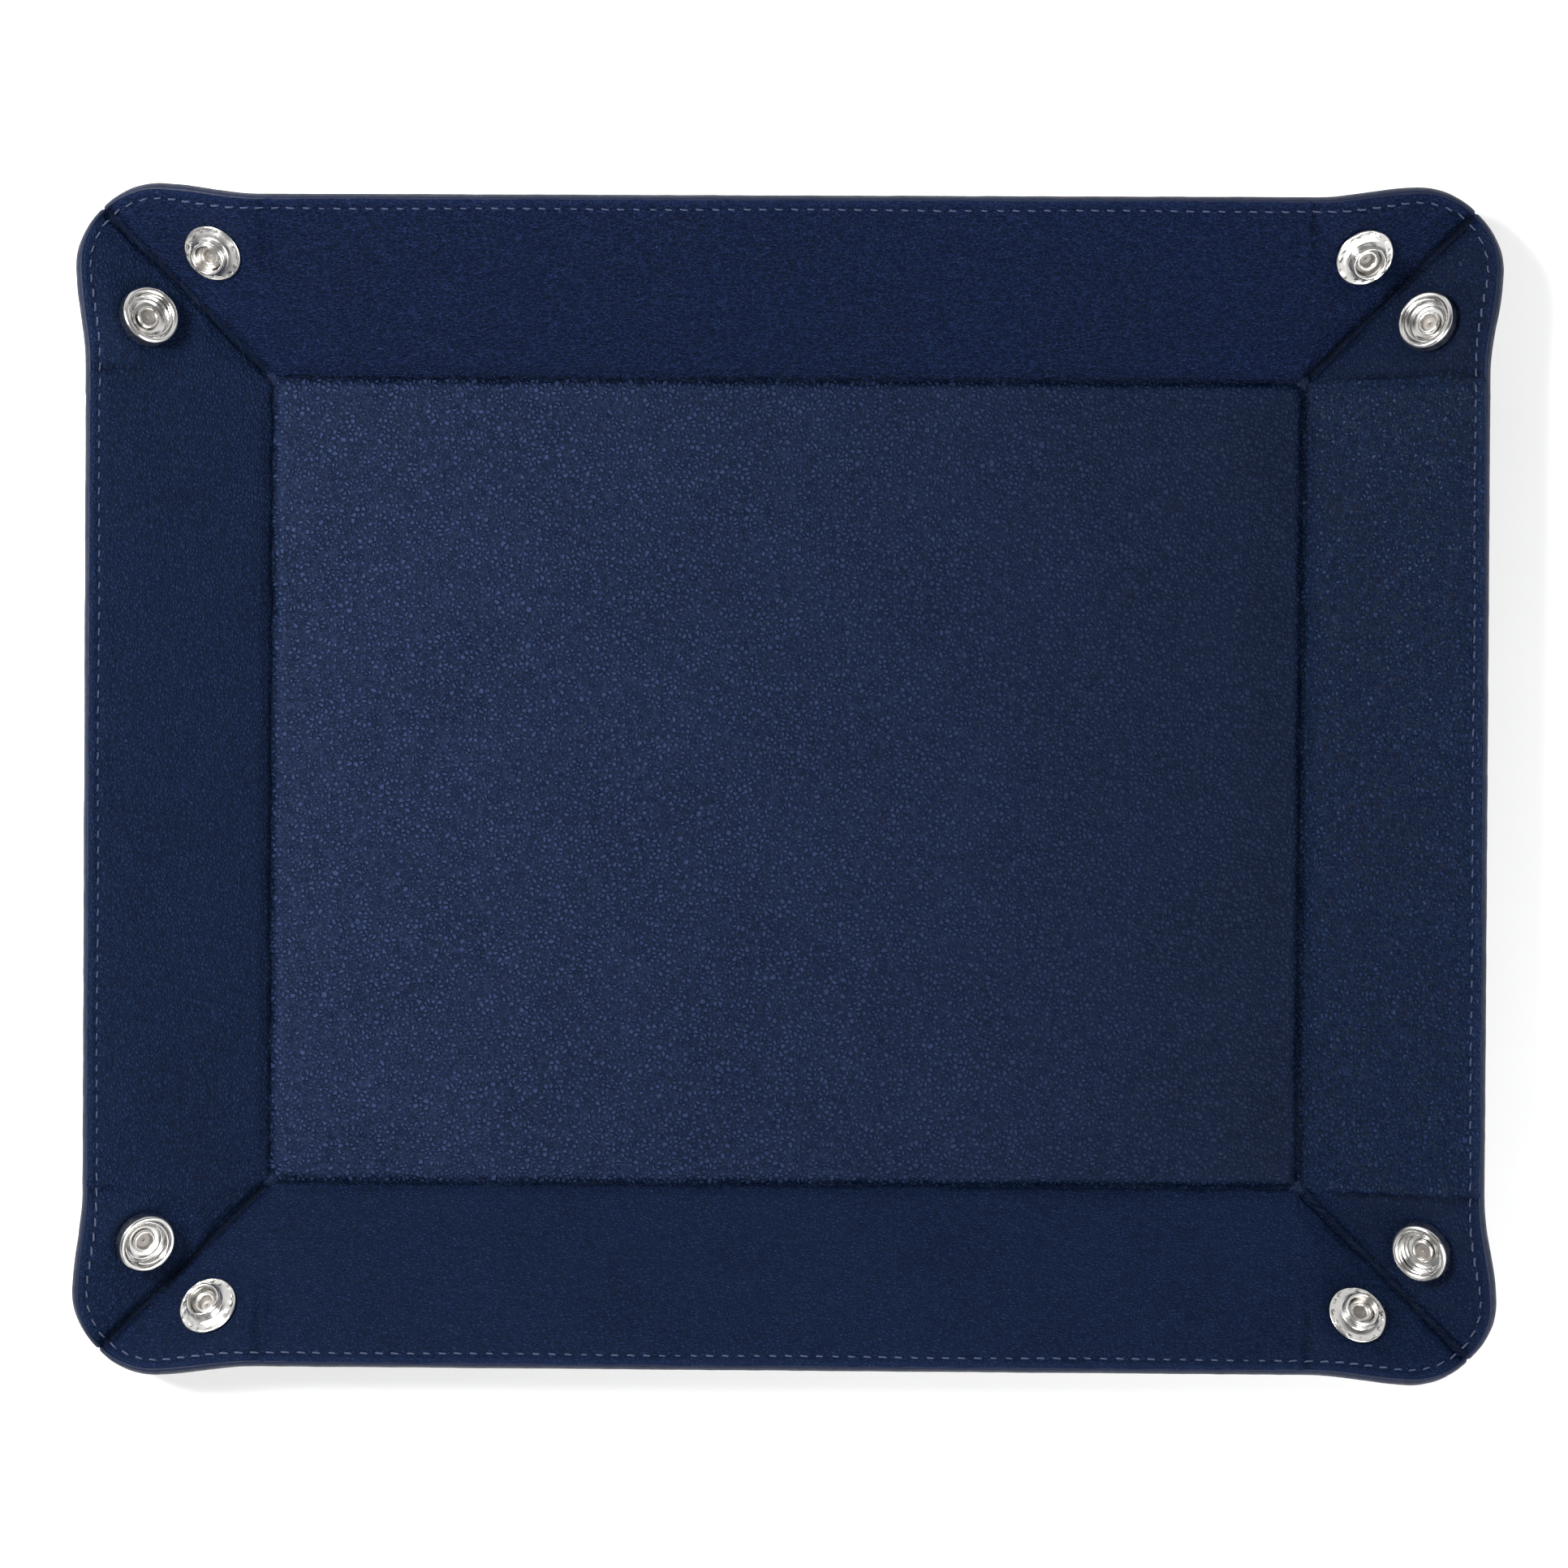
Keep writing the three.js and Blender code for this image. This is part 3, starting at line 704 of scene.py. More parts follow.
def thread():
    settings = dict(Specular_IOR_Level=0.2, Sheen_Weight=0.15, Roughness=0.7)
    material, tree, shader, sheet = new_material("thread", **settings)
    twist = {"Vector": sheet, "Scale": 1.0, "Distortion": 1.2}
    twist = add(tree, "TexWave", twist, bands_direction="DIAGONAL").outputs["Fac"]
    fuzz = noise(tree, sheet, 9.0, 3.0, 0.6)
    give_bump(tree, shader, total(tree, 0.0, (twist, 0.08), (fuzz, 0.04)))
    share = total(tree, 0.0, (twist, 0.5), (fuzz, 0.5))
    give_colour(tree, shader, share, tone(31, 43, 74), tone(72, 86, 121))
    return material


def nickel(name, base, rough):
    material, tree, shader, place = new_material(name, False, Metallic=1.0)
    smudge = noise(tree, place, 420.0, 3.0, 0.6)
    scratch = noise(tree, scaled(tree, place, 1, 5, 2), 2600.0, 2.0, 0.7)
    give_bump(tree, shader, total(tree, 0.0, (smudge, 0.004), (scratch, 0.0004)))
    darker = tuple(0.86 * c for c in base[:3]) + (1.0,)
    give_colour(tree, shader, smudge, darker, base)
    gloss = total(tree, ranged(tree, smudge, 0.3, 0.7, rough, rough + 0.1), (scratch, 0.05))
    tree.links.new(gloss, shader.inputs["Roughness"])
    return material


def grey_board():
    material, tree, shader, place = new_material("grey_board", False, Specular_IOR_Level=0.2, Roughness=0.9)
    fibre = noise(tree, scaled(tree, place, 1, 6), 900.0, 4.0, 0.7)
    fleck = noise(tree, place, 2400.0, 2.0, 0.5)
    give_bump(tree, shader, times(tree, fibre, 0.06))
    share = total(tree, 0.0, (fibre, 0.6), (fleck, 0.4))
    give_colour(tree, shader, share, tone(118, 106, 88), tone(168, 156, 136))
    return material


# The leathers are one sheet. The base's lighter tone is partly its coarser grain and partly painted light on the
# upward-facing panel, and the walls' small differences in tone are partly painted light and shade as it falls on each
# wall.
BASE_LEATHER = leather("base_leather", tone(1, 8, 24), tone(38, 49, 78), 1.0, 0.38, 0.03, 0.05,
                       rough=0.34, specular=0.04, vein_highlights=0.25, light_and_grain_fade=0.6)
SIDE_LEATHER = {
    "back": leather("back_leather", tone(2, 8, 23), tone(22, 35, 68), 0.95, 0.28, 0.05, 0.9,
                    (1, 1.9), 0.36, 0.06, 0.75),
    "front": leather("front_leather", tone(2, 9, 25), tone(19, 32, 60), 0.9, 0.14, 0.05, 0.3,
                     (1, 1.6), 0.42, 0.045, 0.3),
    "left": leather("left_leather", tone(2, 9, 25), tone(20, 34, 62), 0.95, 0.18, 0.05, 0.3,
                    (1.4, 1), 0.42, 0.05, 0.35),
    "right": leather("right_leather", tone(2, 8, 21), tone(22, 36, 64), 1.1, 0.34, 0.04, 0.12,
                     (1.2, 1), 0.34, 0.055, 0.4),
}
WEB_LEATHER = dict(SIDE_LEATHER)
# The right webs' leather is a darker copy of the right wall's: painted shade beyond the extension crease.
WEB_LEATHER["right"] = leather("right_web_leather", tone(2, 8, 22), tone(17, 29, 56), 0.9, 0.16, 0.05, 0.3,
                               (1.3, 1), 0.4, 0.05)
OUTER_LEATHER = leather("outer_leather", tone(3, 10, 26), tone(18, 30, 56), 0.9, 0.12, 0.04, 0.14,
                        rough=0.45, specular=0.07)
EDGE_PAINT = edge_paint()
THREAD = thread()
NICKEL = nickel("nickel", (0.76, 0.75, 0.73, 1.0), 0.14)
EYELET = nickel("eyelet_nickel", (0.70, 0.68, 0.65, 1.0), 0.2)
WELL = nickel("well_nickel", (0.30, 0.28, 0.26, 1.0), 0.55)
BOARD = grey_board()


# The base.

def make_outer(name, top, bottom, flat, wear=None):
    piece = shell(name + "_outer_skin", top, bottom, OUTER_LEATHER, flat, wear)
    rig.replaces(piece, name + "_outer")
    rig.slot(piece, "outer_leather")
    return piece


def make_base():
    half_x, half_y = BASE_LENGTH / 2, BASE_WIDTH / 2
    end_x, end_y = half_x - BASE_BEND, half_y - BASE_BEND
    xs = graded(-end_x, end_x, 1.6, 0.35, (-end_x, end_x))
    ys = graded(-end_y, end_y, 1.6, 0.35, (-end_y, end_y))
    x, y = np.meshgrid(xs, ys)
    inside_x, inside_y = half_x - np.abs(x), half_y - np.abs(y)
    inside = np.minimum(inside_x, inside_y)
    lift = base_raise(inside_x, inside_y)
    under = 1.02 * smooth((inside_x - 3.0) / 1.5) * smooth((inside_y - 3.0) / 1.5)
    slow = (0.1 * ripple(x / 23, y / 19, 1) + 0.04 * ripple(x / 7, y / 6, 2)) * smooth((inside - 3) / 8)
    flat = np.stack([x, y], -1) / SHEET_UNIT
    level = lambda h: np.stack([x, y, HINGE_HEIGHT + h * np.ones_like(x)], -1)
    lining = shell("base_lining_skin", level(lift + slow), level(under + LINING_BOTTOM), BASE_LEATHER, flat)
    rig.ride(lining, "base")
    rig.replaces(lining, "base_lining")
    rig.slot(lining, "lining_leather")

    ripples = 0.03 * (1 + ripple(x / 15, y / 15, 4)) * smooth((inside - 3) / 6)
    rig.ride(make_outer("base", level(OUTER_TOP), level(OUTER_BOTTOM + ripples), flat), "base")


KNUCKLE_RADIUS, KNUCKLE_MIDDLE, KNUCKLE_HALF_HEIGHT = 2.1, 1.46, 1.34


def make_knuckles():
    """The small knot of gathered leather under each corner of the base, where five creases meet."""
    turn = round_turn(40)[None]
    rise = np.linspace(-math.pi / 2, math.pi / 2, 17)[:, None]
    for side in SIDES:
        uneven = 1 + 0.1 * np.cos(5 * turn + side.turn) * np.cos(rise)
        uneven = uneven + 0.04 * ripple(4 * np.cos(turn) + 9, 4 * np.sin(turn) + 3 * rise, 2)
        out = KNUCKLE_RADIUS * np.cos(0.985 * rise) * uneven  # not quite closed at its poles, for the caps
        x, y = side.half + out * np.cos(turn), side.reach + out * np.sin(turn)
        z = KNUCKLE_MIDDLE + KNUCKLE_HALF_HEIGHT * np.sin(rise) + 0 * turn
        points = to_tray(side, x, y, z)
        flat = points[..., :2] / SHEET_UNIT
        piece = finish_mesh(corner_name(side, 1) + "_knuckle", points, swept(points), OUTER_LEATHER, flat)
        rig.slot(piece, "outer_leather")
        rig.ride(piece, "base")


# The walls and webs.

def blend_wall(piece, side):
    at = lambda b: tuple(to_tray(side, 0.0, side.reach + b, HINGE_HEIGHT) * MM)
    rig.blend(piece, "base", f"{side.name}_wall", at(-BASE_BEND), at(BASE_BEND))


def blend_web(piece, side, hand):
    at = lambda a: tuple(to_tray(side, hand * (side.half + a), side.reach, HINGE_HEIGHT) * MM)
    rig.blend(piece, f"{side.name}_wall", corner_name(side, hand) + "_web", at(-END_BEND), at(END_BEND))


def wall_end(b):
    """Where the wall's skin ends, as a place beyond the wall's end."""
    return np.where(b < 0, b, -END_LEAN * b)


def wall_grid(side, column_step, row_steps):
    marks = (-BASE_BEND / 2, 0, BASE_BEND / 2, WALL_HEIGHT - STITCH_INSET, WALL_HEIGHT)
    bs = graded(-BASE_BEND, WALL_HEIGHT - EDGE_SET, *row_steps, marks)
    share = graded(0, 1, column_step / side.half, 0.5 * column_step / side.half, (1,), 0.2)
    share = np.concatenate([-share[:0:-1], share])
    b, s = np.meshgrid(bs, share, indexing="ij")
    x = s * (side.half + wall_end(b))
    return np.where(x < 0, -1, 1), np.abs(x) - side.half, b


def second_material(piece, material, chosen):
    """The other material on the faces of a shell that start at the chosen points of its grid."""
    mesh = piece.data
    mesh.materials.append(material)
    starts = np.empty(len(mesh.polygons), np.int32)
    mesh.polygons.foreach_get("loop_start", starts)
    corner = np.empty(len(mesh.loops), np.int32)
    mesh.loops.foreach_get("vertex_index", corner)
    mesh.polygons.foreach_set("material_index", chosen.ravel()[corner[starts] % chosen.size].astype(np.int32))


def make_lining(name, side, hand, a, b, under, leather, other, chosen):
    top = side_point(side, hand, a, b, lining_relief(side, hand, a, b))
    bottom = side_point(side, hand, a, b, LINING_BOTTOM + under)
    flat = sheet_place(side, hand, a, b)
    piece = shell(name + "_lining_skin", top, bottom, leather, flat, wear_and_shade_of(side, a, b))
    second_material(piece, other, chosen)
    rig.replaces(piece, name + "_lining")
    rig.slot(piece, "lining_leather")
    return piece


def outer_layers(side, hand, a, b):
    """The outer leather's two faces, its place on the flat sheet, and its wear with its painted crease shade."""
    top = side_point(side, hand, a, b, OUTER_TOP, 0)
    bottom = side_point(side, hand, a, b, OUTER_BOTTOM + outer_relief(side, hand, a, b), 0)
    return top, bottom, sheet_place(side, hand, a, b), wear_and_shade_of(side, a, b)


def make_wall(side):
    name, leather = side.name + "_wall", SIDE_LEATHER[side.name]
    hand, a, b = wall_grid(side, 0.55, (1.1, 0.3))
    lining = make_lining(name, side, hand, a, b, under_raise(a, b), leather, BASE_LEATHER, b < -CREASE_LIP)
    blend_wall(lining, side)
    outer = make_outer(name, *outer_layers(side, *wall_grid(side, 1.1, (1.8, 0.5))))
    blend_wall(outer, side)


def rim_radius(angle, inset):
    """From the base's corner to the rim, less the inset, along a ray of the web."""
    straight = (WALL_HEIGHT - inset) / np.cos(angle)
    towards = ARC_START * (np.sin(angle) + np.cos(angle))
    spread = (CORNER_RADIUS - inset) ** 2 - 2 * ARC_START ** 2 + towards ** 2
    curved = towards + np.sqrt(np.maximum(spread, 0))
    return np.where(straight * np.sin(angle) < ARC_START, straight, curved)


WEB_START = 0.04  # the web's skin starts this far from the base's corner


def web_grid(column_step, row_step):
    first = -math.atan(END_LEAN)
    step = column_step / WALL_HEIGHT
    angles = graded(first, WEB_SPAN, step, 0.45 * step, (WEB_SPAN,), 0.12)
    step = row_step / WALL_HEIGHT
    shares = graded(0, 1, step, 0.45 * step, (0, 1 - STITCH_INSET / WALL_HEIGHT, 1), 0.12)
    share, angle = np.meshgrid(shares, angles, indexing="ij")
    radius = WEB_START + share * (rim_radius(angle, EDGE_SET) - WEB_START)
    return radius * np.sin(angle), radius * np.cos(angle)


ROUND_STEPS, ROUND_SPAN = 7, 0.04  # the span is on the UV map
WALL_GRAIN = 0.3  # the wall's leather runs on this far past the extension crease
LINING_CLEARANCE = 0.04  # a web lining's hidden face lies this much above the CAD's


def round_under(side, hand, b, thickness):
    """The leather going round under the diagonal: a quarter turn about the fold's line."""
    edge = b[:, -1]
    line = side_point(side, hand, edge, edge, 0, 0)
    normal = unit(side_point(side, hand, edge, edge, 1, 0) - line)
    ahead = unit(side_point(side, hand, edge + 0.05, edge + 0.05, 0, 0) - line)
    over = np.cross(normal, ahead)
    towards = to_tray(side, hand, -1.0, 0.0)
    over = unit(over * np.sign(over @ towards)[:, None])
    size = thickness * (1.0 if side.snap == "stud" else 0.97)  # so that the two webs' rounds never coincide
    turns = np.linspace(0, math.pi / 2, ROUND_STEPS + 1)[1:]
    ring = [line + size * (over * math.sin(t) - normal * math.cos(t)) for t in turns]
    return np.stack(ring, 1)


def make_web(side, hand):
    name = corner_name(side, hand) + "_web"
    a, b = web_grid(0.62, 0.62)
    web_leather, wall_leather = WEB_LEATHER[side.name], SIDE_LEATHER[side.name]
    lining = make_lining(name, side, hand, a, b, LINING_CLEARANCE, web_leather, wall_leather, a < WALL_GRAIN)
    blend_web(lining, side, hand)

    a, b = web_grid(1.2, 1.1)
    top, bottom, flat, wear = outer_layers(side, hand, a, b)
    top = np.concatenate([top, round_under(side, hand, b, -OUTER_TOP)], 1)
    bottom = np.concatenate([bottom, round_under(side, hand, b, -OUTER_BOTTOM)], 1)
    further = np.linspace(0, ROUND_SPAN, ROUND_STEPS + 1)[1:]
    flat = np.concatenate([flat, flat[:, -1:] + np.stack([further, -further], -1)[None]], 1)
    wear = np.concatenate([wear, np.repeat(wear[:, -1:], ROUND_STEPS, 1)], 1)
    blend_web(make_outer(name, top, bottom, flat, wear), side, hand)


# The rim: painted edges and stitching. s runs along the rim from the wall's end, and d inwards from it.

RIM_END = ARC_START + CORNER_RADIUS * math.pi / 4


def rim_place(s, d):
    turn = np.maximum(s - ARC_START, 0) / CORNER_RADIUS
    a = np.where(s < ARC_START, s, ARC_START + (CORNER_RADIUS - d) * np.sin(turn))
    b = np.where(s < ARC_START, WALL_HEIGHT - d, ARC_START + (CORNER_RADIUS - d) * np.cos(turn))
    return a, b


def edge_profile():
    """The painted edge's section: d inwards and h up, rounded outside and hidden inside the leathers."""
    turn = np.linspace(-math.pi / 2, math.pi / 2, 13)
    outside = [(0.62 * (1 - math.cos(t) ** 0.8), -1.425 + 1.33 * math.sin(t)) for t in turn]
    inside = [(1.05, -0.55), (1.05, -2.3)]
    return np.array(outside + inside)


def place_on_wall(side):
    return lambda s, d: (np.where(s < 0, -1, 1), np.abs(s) - side.half, WALL_HEIGHT - d)


def place_on_web(hand):
    return lambda s, d: (hand, *rim_place(s, d))


def make_edge(name, side, hand, s, place):
    """One piece of the painted edge. place carries (s, d) to the sheet, and hand is 0 for the wall."""
    profile = edge_profile()
    s = s[:, None] * np.ones(len(profile))
    uneven = 0.05 * ripple(s / 3.0 + 11 * hand + side.turn, profile[:, 1] / 2, 6)
    h = profile[:, 1] + 0 * s
    points = side_point(side, *place(s, profile[:, 0] + uneven * (profile[:, 0] < 0.5)), h, 0)
    flat = np.stack([s, (0 if hand else WALL_HEIGHT) + h], -1) / SHEET_UNIT
    piece = finish_mesh(name + "_edge", points, swept(points), EDGE_PAINT, flat)
    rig.slot(piece, "outer_leather")
    return piece


def make_edges(side):
    end = side.half - END_BEND
    wall = side.name + "_wall"
    piece = make_edge(wall, side, 0, np.linspace(-end, end, int(2 * side.half / 0.9)), place_on_wall(side))
    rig.ride(piece, wall)
    for hand in side.ends:
        s = graded(-END_BEND, RIM_END, 0.8, 0.4, (RIM_END,))
        piece = make_edge(corner_name(side, hand) + "_web", side, hand, s, place_on_web(hand))
        blend_web(piece, side, hand)


STITCH_PITCH, STITCH_LENGTH, THREAD_RADIUS = 3.24, 2.1, 0.17
STITCH_ROWS, STITCH_SIDES = 11, 8
WEB_STITCHES = 11


def stitch_sections():
    """One stitch, as (along, inwards, up) places: a short arch of thread that dives into its two holes."""
    t = np.linspace(-1, 1, STITCH_ROWS)[:, None]
    turn = round_turn(STITCH_SIDES)[None]
    arch = 0.20 - 0.62 * np.abs(t) ** 3.2
    size = THREAD_RADIUS * (1 - 0.35 * np.abs(t) ** 4)
    lean = 0.12 * t
    along = 0.5 * STITCH_LENGTH * np.sign(t) * np.abs(t) ** 0.8 + 0 * turn
    return along, lean + size * np.cos(turn), arch + 0.82 * size * np.sin(turn)


def make_stitches(side, middles, place, face, up):
    """Stitches at the middles along the rim. place carries (s, d) to the sheet, face is their height, and
    up is 1 on the lining and -1 on the underside."""
    along, inwards, lift = stitch_sections()
    points, flats, faces = [], [], []
    for k, middle in enumerate(middles):
        jitter = 0.09 * math.sin(12.9 * k + side.turn)
        s = middle + along + 0.06 * math.sin(7.7 * k + side.turn)
        hand, a, b = place(s, STITCH_INSET + inwards + jitter)
        grid = side_point(side, hand, a, b, face + up * (lift + 0.06 * math.sin(5.1 * k)), 0)
        start = k * grid.shape[0] * grid.shape[1]
        faces += [f + start for f in swept(grid)]
        points.append(grid.reshape(-1, 3))
        rows, sides = grid.shape[:2]
        strand = np.meshgrid(np.arange(rows) * 0.9 + 5 * k, np.arange(sides) * 0.4, indexing="ij")
        flats.append(np.stack(strand, -1).reshape(-1, 2))
    quads = np.concatenate([f for f in faces if f.shape[1] == 4])
    caps = np.concatenate([f for f in faces if f.shape[1] == STITCH_SIDES])
    return np.concatenate(points), [quads, caps], np.concatenate(flats)


def make_thread(name, side, middles, place):
    """One piece of the thread: its stitches on the lining and on the underside."""
    parts = [make_stitches(side, middles, place, -0.22, 1),
             make_stitches(side, middles, place, OUTER_BOTTOM + 0.2, -1)]
    (top, top_faces, top_flat), (under, under_faces, under_flat) = parts
    faces = [np.concatenate([f, g + len(top)]) for f, g in zip(top_faces, under_faces)]
    points, flat = np.concatenate([top, under]), np.concatenate([top_flat, under_flat])
    piece = finish_mesh(name, points, faces, THREAD, flat)
    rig.slot(piece, "thread")
    return piece


def make_stitching(side):
    count = int(round(2 * side.half / STITCH_PITCH))
    pitch = 2 * side.half / count
    middles = -side.half + pitch * (np.arange(1, count - 1) + 0.5)
    piece = make_thread(side.name + "_wall_stitches", side, middles, place_on_wall(side))
    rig.ride(piece, side.name + "_wall")
    inner_radius = CORNER_RADIUS - STITCH_INSET
    web_pitch = (ARC_START + inner_radius * math.pi / 4) / WEB_STITCHES
    places = np.concatenate([[-0.5 * pitch], web_pitch * (np.arange(WEB_STITCHES) + 0.5)])
    on_arc = ARC_START + (places - ARC_START) * CORNER_RADIUS / inner_radius
    places = np.where(places > ARC_START, on_arc, places)
    for hand in side.ends:
        piece = make_thread(corner_name(side, hand) + "_web_stitches", side, places, place_on_web(hand))
        blend_web(piece, side, hand)


# Press studs, turned about the seat's normal, with the seat's face at zero.

SNAP_SEGMENTS = 96


def softened(profile, rounds=2):
    """The closed profile with its corners cut this many times over, so that its edges are rolled."""
    points = np.array(profile, float)
    for _ in range(rounds):
        after = np.roll(points, -1, 0)
        points = np.stack([0.8 * points + 0.2 * after, 0.2 * points + 0.8 * after], 1).reshape(-1, 2)
    return points


def densified(profile, step=0.16):
    """The profile with more points, so that the stamped marks have something to move."""
    out = []
    for here, after in zip(profile, np.roll(profile, -1, 0)):
        count = max(1, int(np.linalg.norm(after - here) / step))
        out += [here + (after - here) * k / count for k in range(count)]
    return np.array(out)


def turned(profile, shape=None):
    angle = round_turn(SNAP_SEGMENTS)[:, None]
    radius, height = profile[None, :, 0], profile[None, :, 1] + 0 * angle
    if shape is not None:
        radius, height = shape(angle, radius + 0 * angle, height)
    return np.stack([radius * np.cos(angle), radius * np.sin(angle), height], -1)


def snap_place(side, hand, points, spin=0.0):
    """From the press stud's own frame to the tray."""
    c, s = math.cos(spin), math.sin(spin)
    x, y, z = np.moveaxis(points, -1, 0)[..., None]
    x, y = x * c - y * s, x * s + y * c
    local = SEAT_CENTRE + x * SEAT_ACROSS_WAY + y * SEAT_ALONG_WAY + z * SEAT_NORMAL
    cos, sin = math.cos(REST_ANGLE), math.sin(REST_ANGLE)
    out_y, up = local[..., 1] * cos - local[..., 2] * sin, local[..., 1] * sin + local[..., 2] * cos
    return to_tray(side, hand * (side.half + local[..., 0]), side.reach + out_y, HINGE_HEIGHT + up)


def crimped(side, hand):
    """Small stamped marks round a stud's flange, uneven as the real ones are."""
    rng = np.random.default_rng(side.turn + 3 + hand)
    count = 15
    at = 2 * math.pi * (np.arange(count) + rng.uniform(-0.28, 0.28, count)) / count
    out = rng.uniform(5.2, 5.8, count)
    deep = rng.uniform(0.10, 0.22, count) * rng.choice([-1, -1, 1], count)
    width = rng.uniform(0.24, 0.4, count)

    def shape(angle, radius, height):
        for turn, middle, depth, size in zip(at, out, deep, width):
            gap = (angle - turn + math.pi) % (2 * math.pi) - math.pi
            mark = np.exp(-((gap * radius / size) ** 2) - ((radius - middle) / (0.85 * size)) ** 2)
            height = height + depth * mark * (height > 0.3)
        return radius, height

    return shape


def snap_form(side, hand, name, points, faces, material, spin=0.0):
    """A piece of a press stud from its own frame's points, riding on its web."""
    web = corner_name(side, hand)
    piece = finish_mesh(f"{web}_{name}", snap_place(side, hand, points, spin), faces, material, crease=70)
    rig.ride(piece, web + "_web")
    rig.slot(piece, "nickel")
    return piece


def own_spin(side, hand):
    """Each press stud sits turned a little differently."""
    return 0.3 * side.turn + hand


def snap_piece(side, hand, name, profile, material, shape=None):
    points = turned(profile, shape)
    piece = snap_form(side, hand, name + "_form", points, swept(points, True), material, own_spin(side, hand))
    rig.replaces(piece, f"{corner_name(side, hand)}_{name}")


# The sections, as (radius, height) from the axis and from the seat's face.
STUD = [
    (2.35, 0.02), (6.0, 0.02), (6.3, 0.14), (6.3, 0.5), (6.05, 0.66), (5.6, 0.62), (4.8, 0.66),
    (4.35, 0.74), (3.7, 0.95), (3.42, 1.45), (3.5, 2.2), (3.78, 2.7), (3.75, 3.15), (3.45, 3.42),
    (3.1, 3.3), (2.95, 2.9), (2.9, 1.7), (2.7, 1.3), (2.35, 1.15),
]
STUD_EYELET = [
    (1.3, -3.78), (5.3, -3.78), (5.6, -3.55), (5.55, -3.05), (4.9, -2.9), (2.0, -2.95), (1.9, -2.2),
    (1.9, 1.2), (2.5, 1.3), (2.45, 1.6), (2.1, 1.95), (1.65, 1.9), (1.42, 1.5), (1.35, 0.75), (1.3, 0.1),
]
SOCKET = [
    (2.3, 0.02), (5.8, 0.02), (6.15, 0.2), (6.3, 0.7), (6.3, 2.3), (6.2, 2.75), (5.8, 3.05), (5.3, 3.0),
    (4.9, 2.72), (4.95, 2.5), (5.35, 2.35), (5.55, 2.0), (5.5, 1.5), (5.1, 1.25), (4.75, 1.3), (4.5, 1.15),
    (4.35, 0.85), (3.95, 0.95), (3.6, 0.72), (3.2, 0.55), (2.3, 0.5),
]
SOCKET_CAP = [
    (0.0, -4.95), (2.4, -4.9), (4.4, -4.55), (5.7, -3.95), (6.25, -3.35), (6.15, -3.0), (5.6, -2.92),
    (2.0, -2.95), (1.9, -2.2), (1.9, 0.6), (2.55, 0.75), (2.5, 1.1), (2.15, 1.4), (1.8, 1.3), (1.65, 0.9),
    (1.6, 0.0), (0.0, -0.1),
]
RING_RADIUS, WIRE_RADIUS, RING_HEIGHT, RING_GAP = 4.72, 0.36, 2.05, 0.28


def make_cap(side, hand):
    """The domed cap under a socket. Its section starts and ends just off the axis."""
    section = np.array(SOCKET_CAP)
    rolled = softened(section[1:-1])[:-4]  # without the points that close the section across the axis
    off_axis = (0.03, 0)
    points = turned(np.concatenate([section[:1] + off_axis, rolled, section[-1:] + off_axis]))
    rows, columns = points.shape[:2]
    index = np.arange(rows * columns).reshape(rows, columns)
    after = np.roll(index, -1, 0)
    skin = np.stack([index[:, :-1], after[:, :-1], after[:, 1:], index[:, 1:]], -1).reshape(-1, 4)
    faces = [skin, index[None, ::-1, 0], index[None, :, -1]]
    piece = snap_form(side, hand, "socket_cap_form", points, faces, EYELET, own_spin(side, hand))
    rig.replaces(piece, corner_name(side, hand) + "_socket_cap")


def make_ring(side, hand):
    """The split spring ring that grips the stud."""
    angle = np.linspace(RING_GAP, 2 * math.pi - RING_GAP, 97)[:, None]
    turn = round_turn(12)[None]
    radius = RING_RADIUS * (1 - 0.05 * np.cos(2 * angle)) + WIRE_RADIUS * np.cos(turn)
    height = RING_HEIGHT + WIRE_RADIUS * np.sin(turn) + 0 * angle
    points = np.stack([radius * np.cos(angle), radius * np.sin(angle), height], -1)
    piece = snap_form(side, hand, "socket_ring_form", points, swept(points), NICKEL, 0.6)
    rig.replaces(piece, corner_name(side, hand) + "_socket_ring")


def make_well(side, hand, radius, top):
    """The dull bottom of the hole through a press stud's middle."""
    profile = [(0.05, top), (0.8 * radius, top), (radius, top - 0.1), (radius, top - 0.6), (0.05, top - 0.6)]
    points = turned(softened(profile, 1))
    snap_form(side, hand, side.snap + "_well", points, swept(points, True), WELL)


def make_snap(side, hand):
    if side.snap == "stud":
        make_well(side, hand, 1.45, 0.85)
        snap_piece(side, hand, "stud", densified(softened(STUD)), NICKEL, crimped(side, hand))
        snap_piece(side, hand, "stud_eyelet", softened(STUD_EYELET), EYELET)
    else:
        make_well(side, hand, 1.75, 0.62)
        snap_piece(side, hand, "socket", softened(SOCKET), NICKEL)
        make_ring(side, hand)
        make_cap(side, hand)


make_base()
make_knuckles()
for side in SIDES:
    make_wall(side)
    make_edges(side)
    make_stitching(side)
    for hand in side.ends:
        make_web(side, hand)
        make_snap(side, hand)

for name, part in frame["nodes"].items():
    if name.endswith("_board"):
        part.data.materials.clear()
        part.data.materials.append(BOARD)


# The floor, the light and the camera.

FLOOR_REACH, FLOOR_DROP = 3.0, 0.0002  # metres


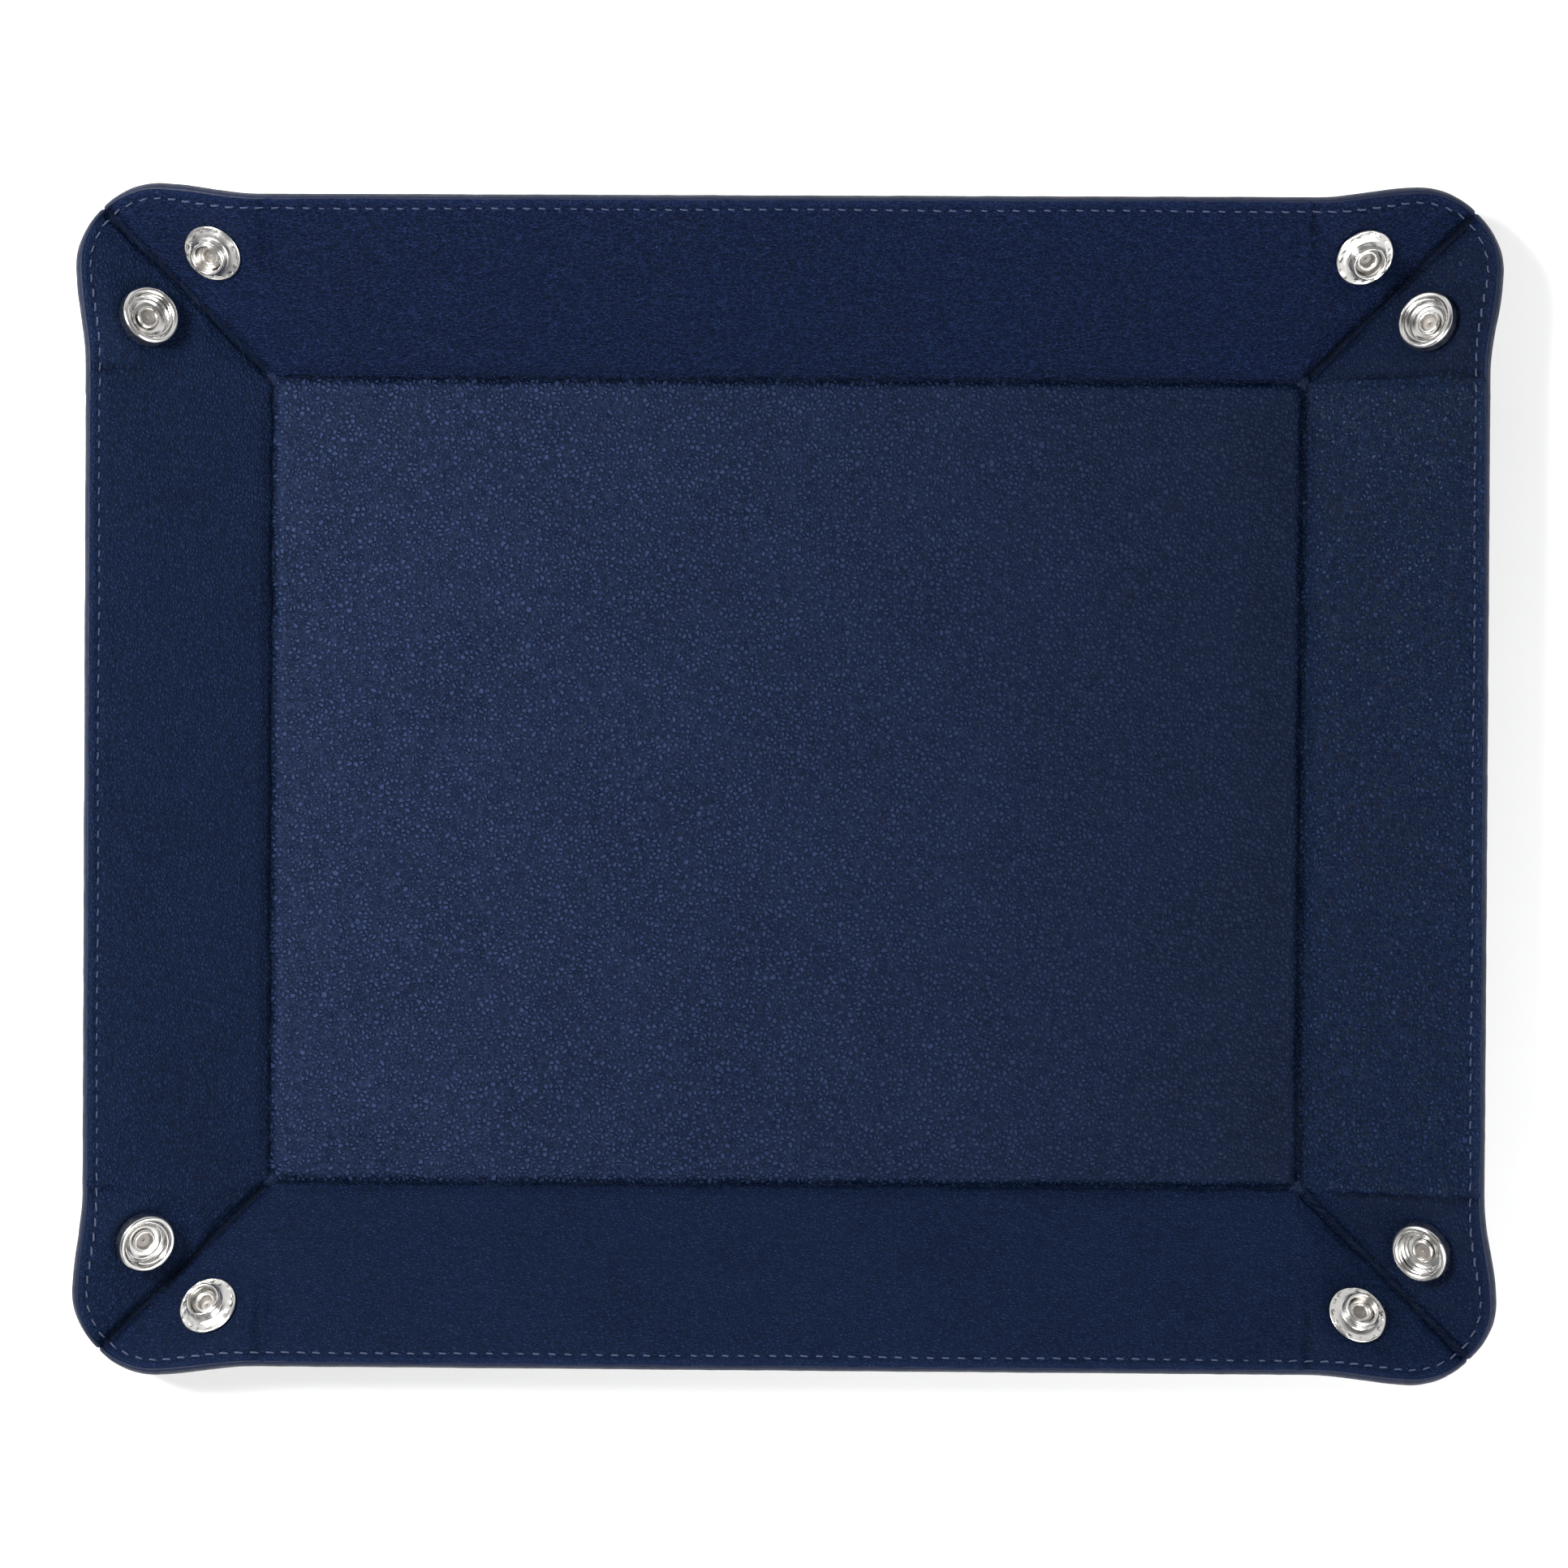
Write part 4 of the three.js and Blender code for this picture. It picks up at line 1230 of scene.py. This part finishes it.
def make_floor():
    mesh = bpy.data.meshes.new("floor")
    corners = [(-1, -1), (1, -1), (1, 1), (-1, 1)]
    mesh.from_pydata([(x * FLOOR_REACH, y * FLOOR_REACH, 0) for x, y in corners], [], [(0, 1, 2, 3)])
    material, tree, shader, place = new_material("floor", False, Specular_IOR_Level=0.0, Roughness=0.9)
    speck = noise(tree, place, 60.0, 2.0)
    give_colour(tree, shader, speck, (0.90, 0.90, 0.90, 1), (0.92, 0.92, 0.92, 1))
    mesh.materials.append(material)
    floor = bpy.data.objects.new("floor", mesh)
    bpy.context.scene.collection.objects.link(floor)
    floor.location.z = -FLOOR_DROP
    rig.stage(floor)


def make_light(name, place, size, power):
    """A square lamp that looks at the tray's middle."""
    data = bpy.data.lights.new(name, "AREA")
    data.size, data.energy = size, power
    lamp = bpy.data.objects.new(name, data)
    bpy.context.scene.collection.objects.link(lamp)
    lamp.location = place
    tilt = math.acos(place[2] / np.linalg.norm(place))
    lamp.rotation_euler = (tilt, 0, math.atan2(place[0], -place[1]))


def make_world():
    """A studio all round: bright above, with darker bands that the polished metal picks up."""
    world = bpy.data.worlds.new("studio")
    bpy.context.scene.world = world
    world.use_nodes = True
    tree = world.node_tree
    background = tree.nodes["Background"]
    way = add(tree, "TexCoord").outputs["Generated"]
    height = add(tree, "SeparateXYZ", {0: way}).outputs["Z"]
    ramp = add(tree, "ValToRGB", {"Fac": height})
    stops = ((0.45, 0.8), (0.6, 0.45), (0.8, 0.25), (0.93, 0.45), (1.0, 0.5))
    for place, _ in stops[1:-1]:
        ramp.color_ramp.elements.new(place)
    for element, (place, level) in zip(ramp.color_ramp.elements, stops):
        element.position = place
        element.color = (level, level, level, 1)
    flags = ranged(tree, noise(tree, way, 1.6, 1.0), 0.42, 0.56, 0.3, 1.15)
    lit = {0: ramp.outputs["Color"], "Scale": flags}
    lit = add(tree, "VectorMath", lit, operation="SCALE").outputs[0]
    tree.links.new(lit, background.inputs["Color"])
    background.inputs["Strength"].default_value = 1.0


CAMERA_PLACE = (0.03016, 0.01676, 1.25)
CAMERA_TURN = (-0.773, 1.403, 0.321)  # degrees about X, Y and Z
CAMERA_LENS, CAMERA_SENSOR = 137.73, 36.0


def make_camera():
    data = bpy.data.cameras.new("camera")
    data.lens, data.sensor_width = CAMERA_LENS, CAMERA_SENSOR
    data.clip_start, data.clip_end = 0.01, 20
    camera = bpy.data.objects.new("camera", data)
    bpy.context.scene.collection.objects.link(camera)
    camera.location = CAMERA_PLACE
    camera.rotation_euler = [math.radians(turn) for turn in CAMERA_TURN]
    bpy.context.scene.camera = camera


make_floor()
make_world()
make_light("key", (-0.53, 0.25, 0.68), 0.3, 14.5)
make_light("fill", (0.52, -0.48, 0.85), 0.8, 12.5)
make_camera()
bpy.context.scene.view_settings.view_transform = "Standard"
bpy.context.scene.view_settings.look = "None"

looks_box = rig.bounds()
as_lists = lambda box: [list(corner) for corner in box]
json.dump({"cad": as_lists(cad_box), "visual": as_lists(looks_box)}, open("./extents.json", "w"))
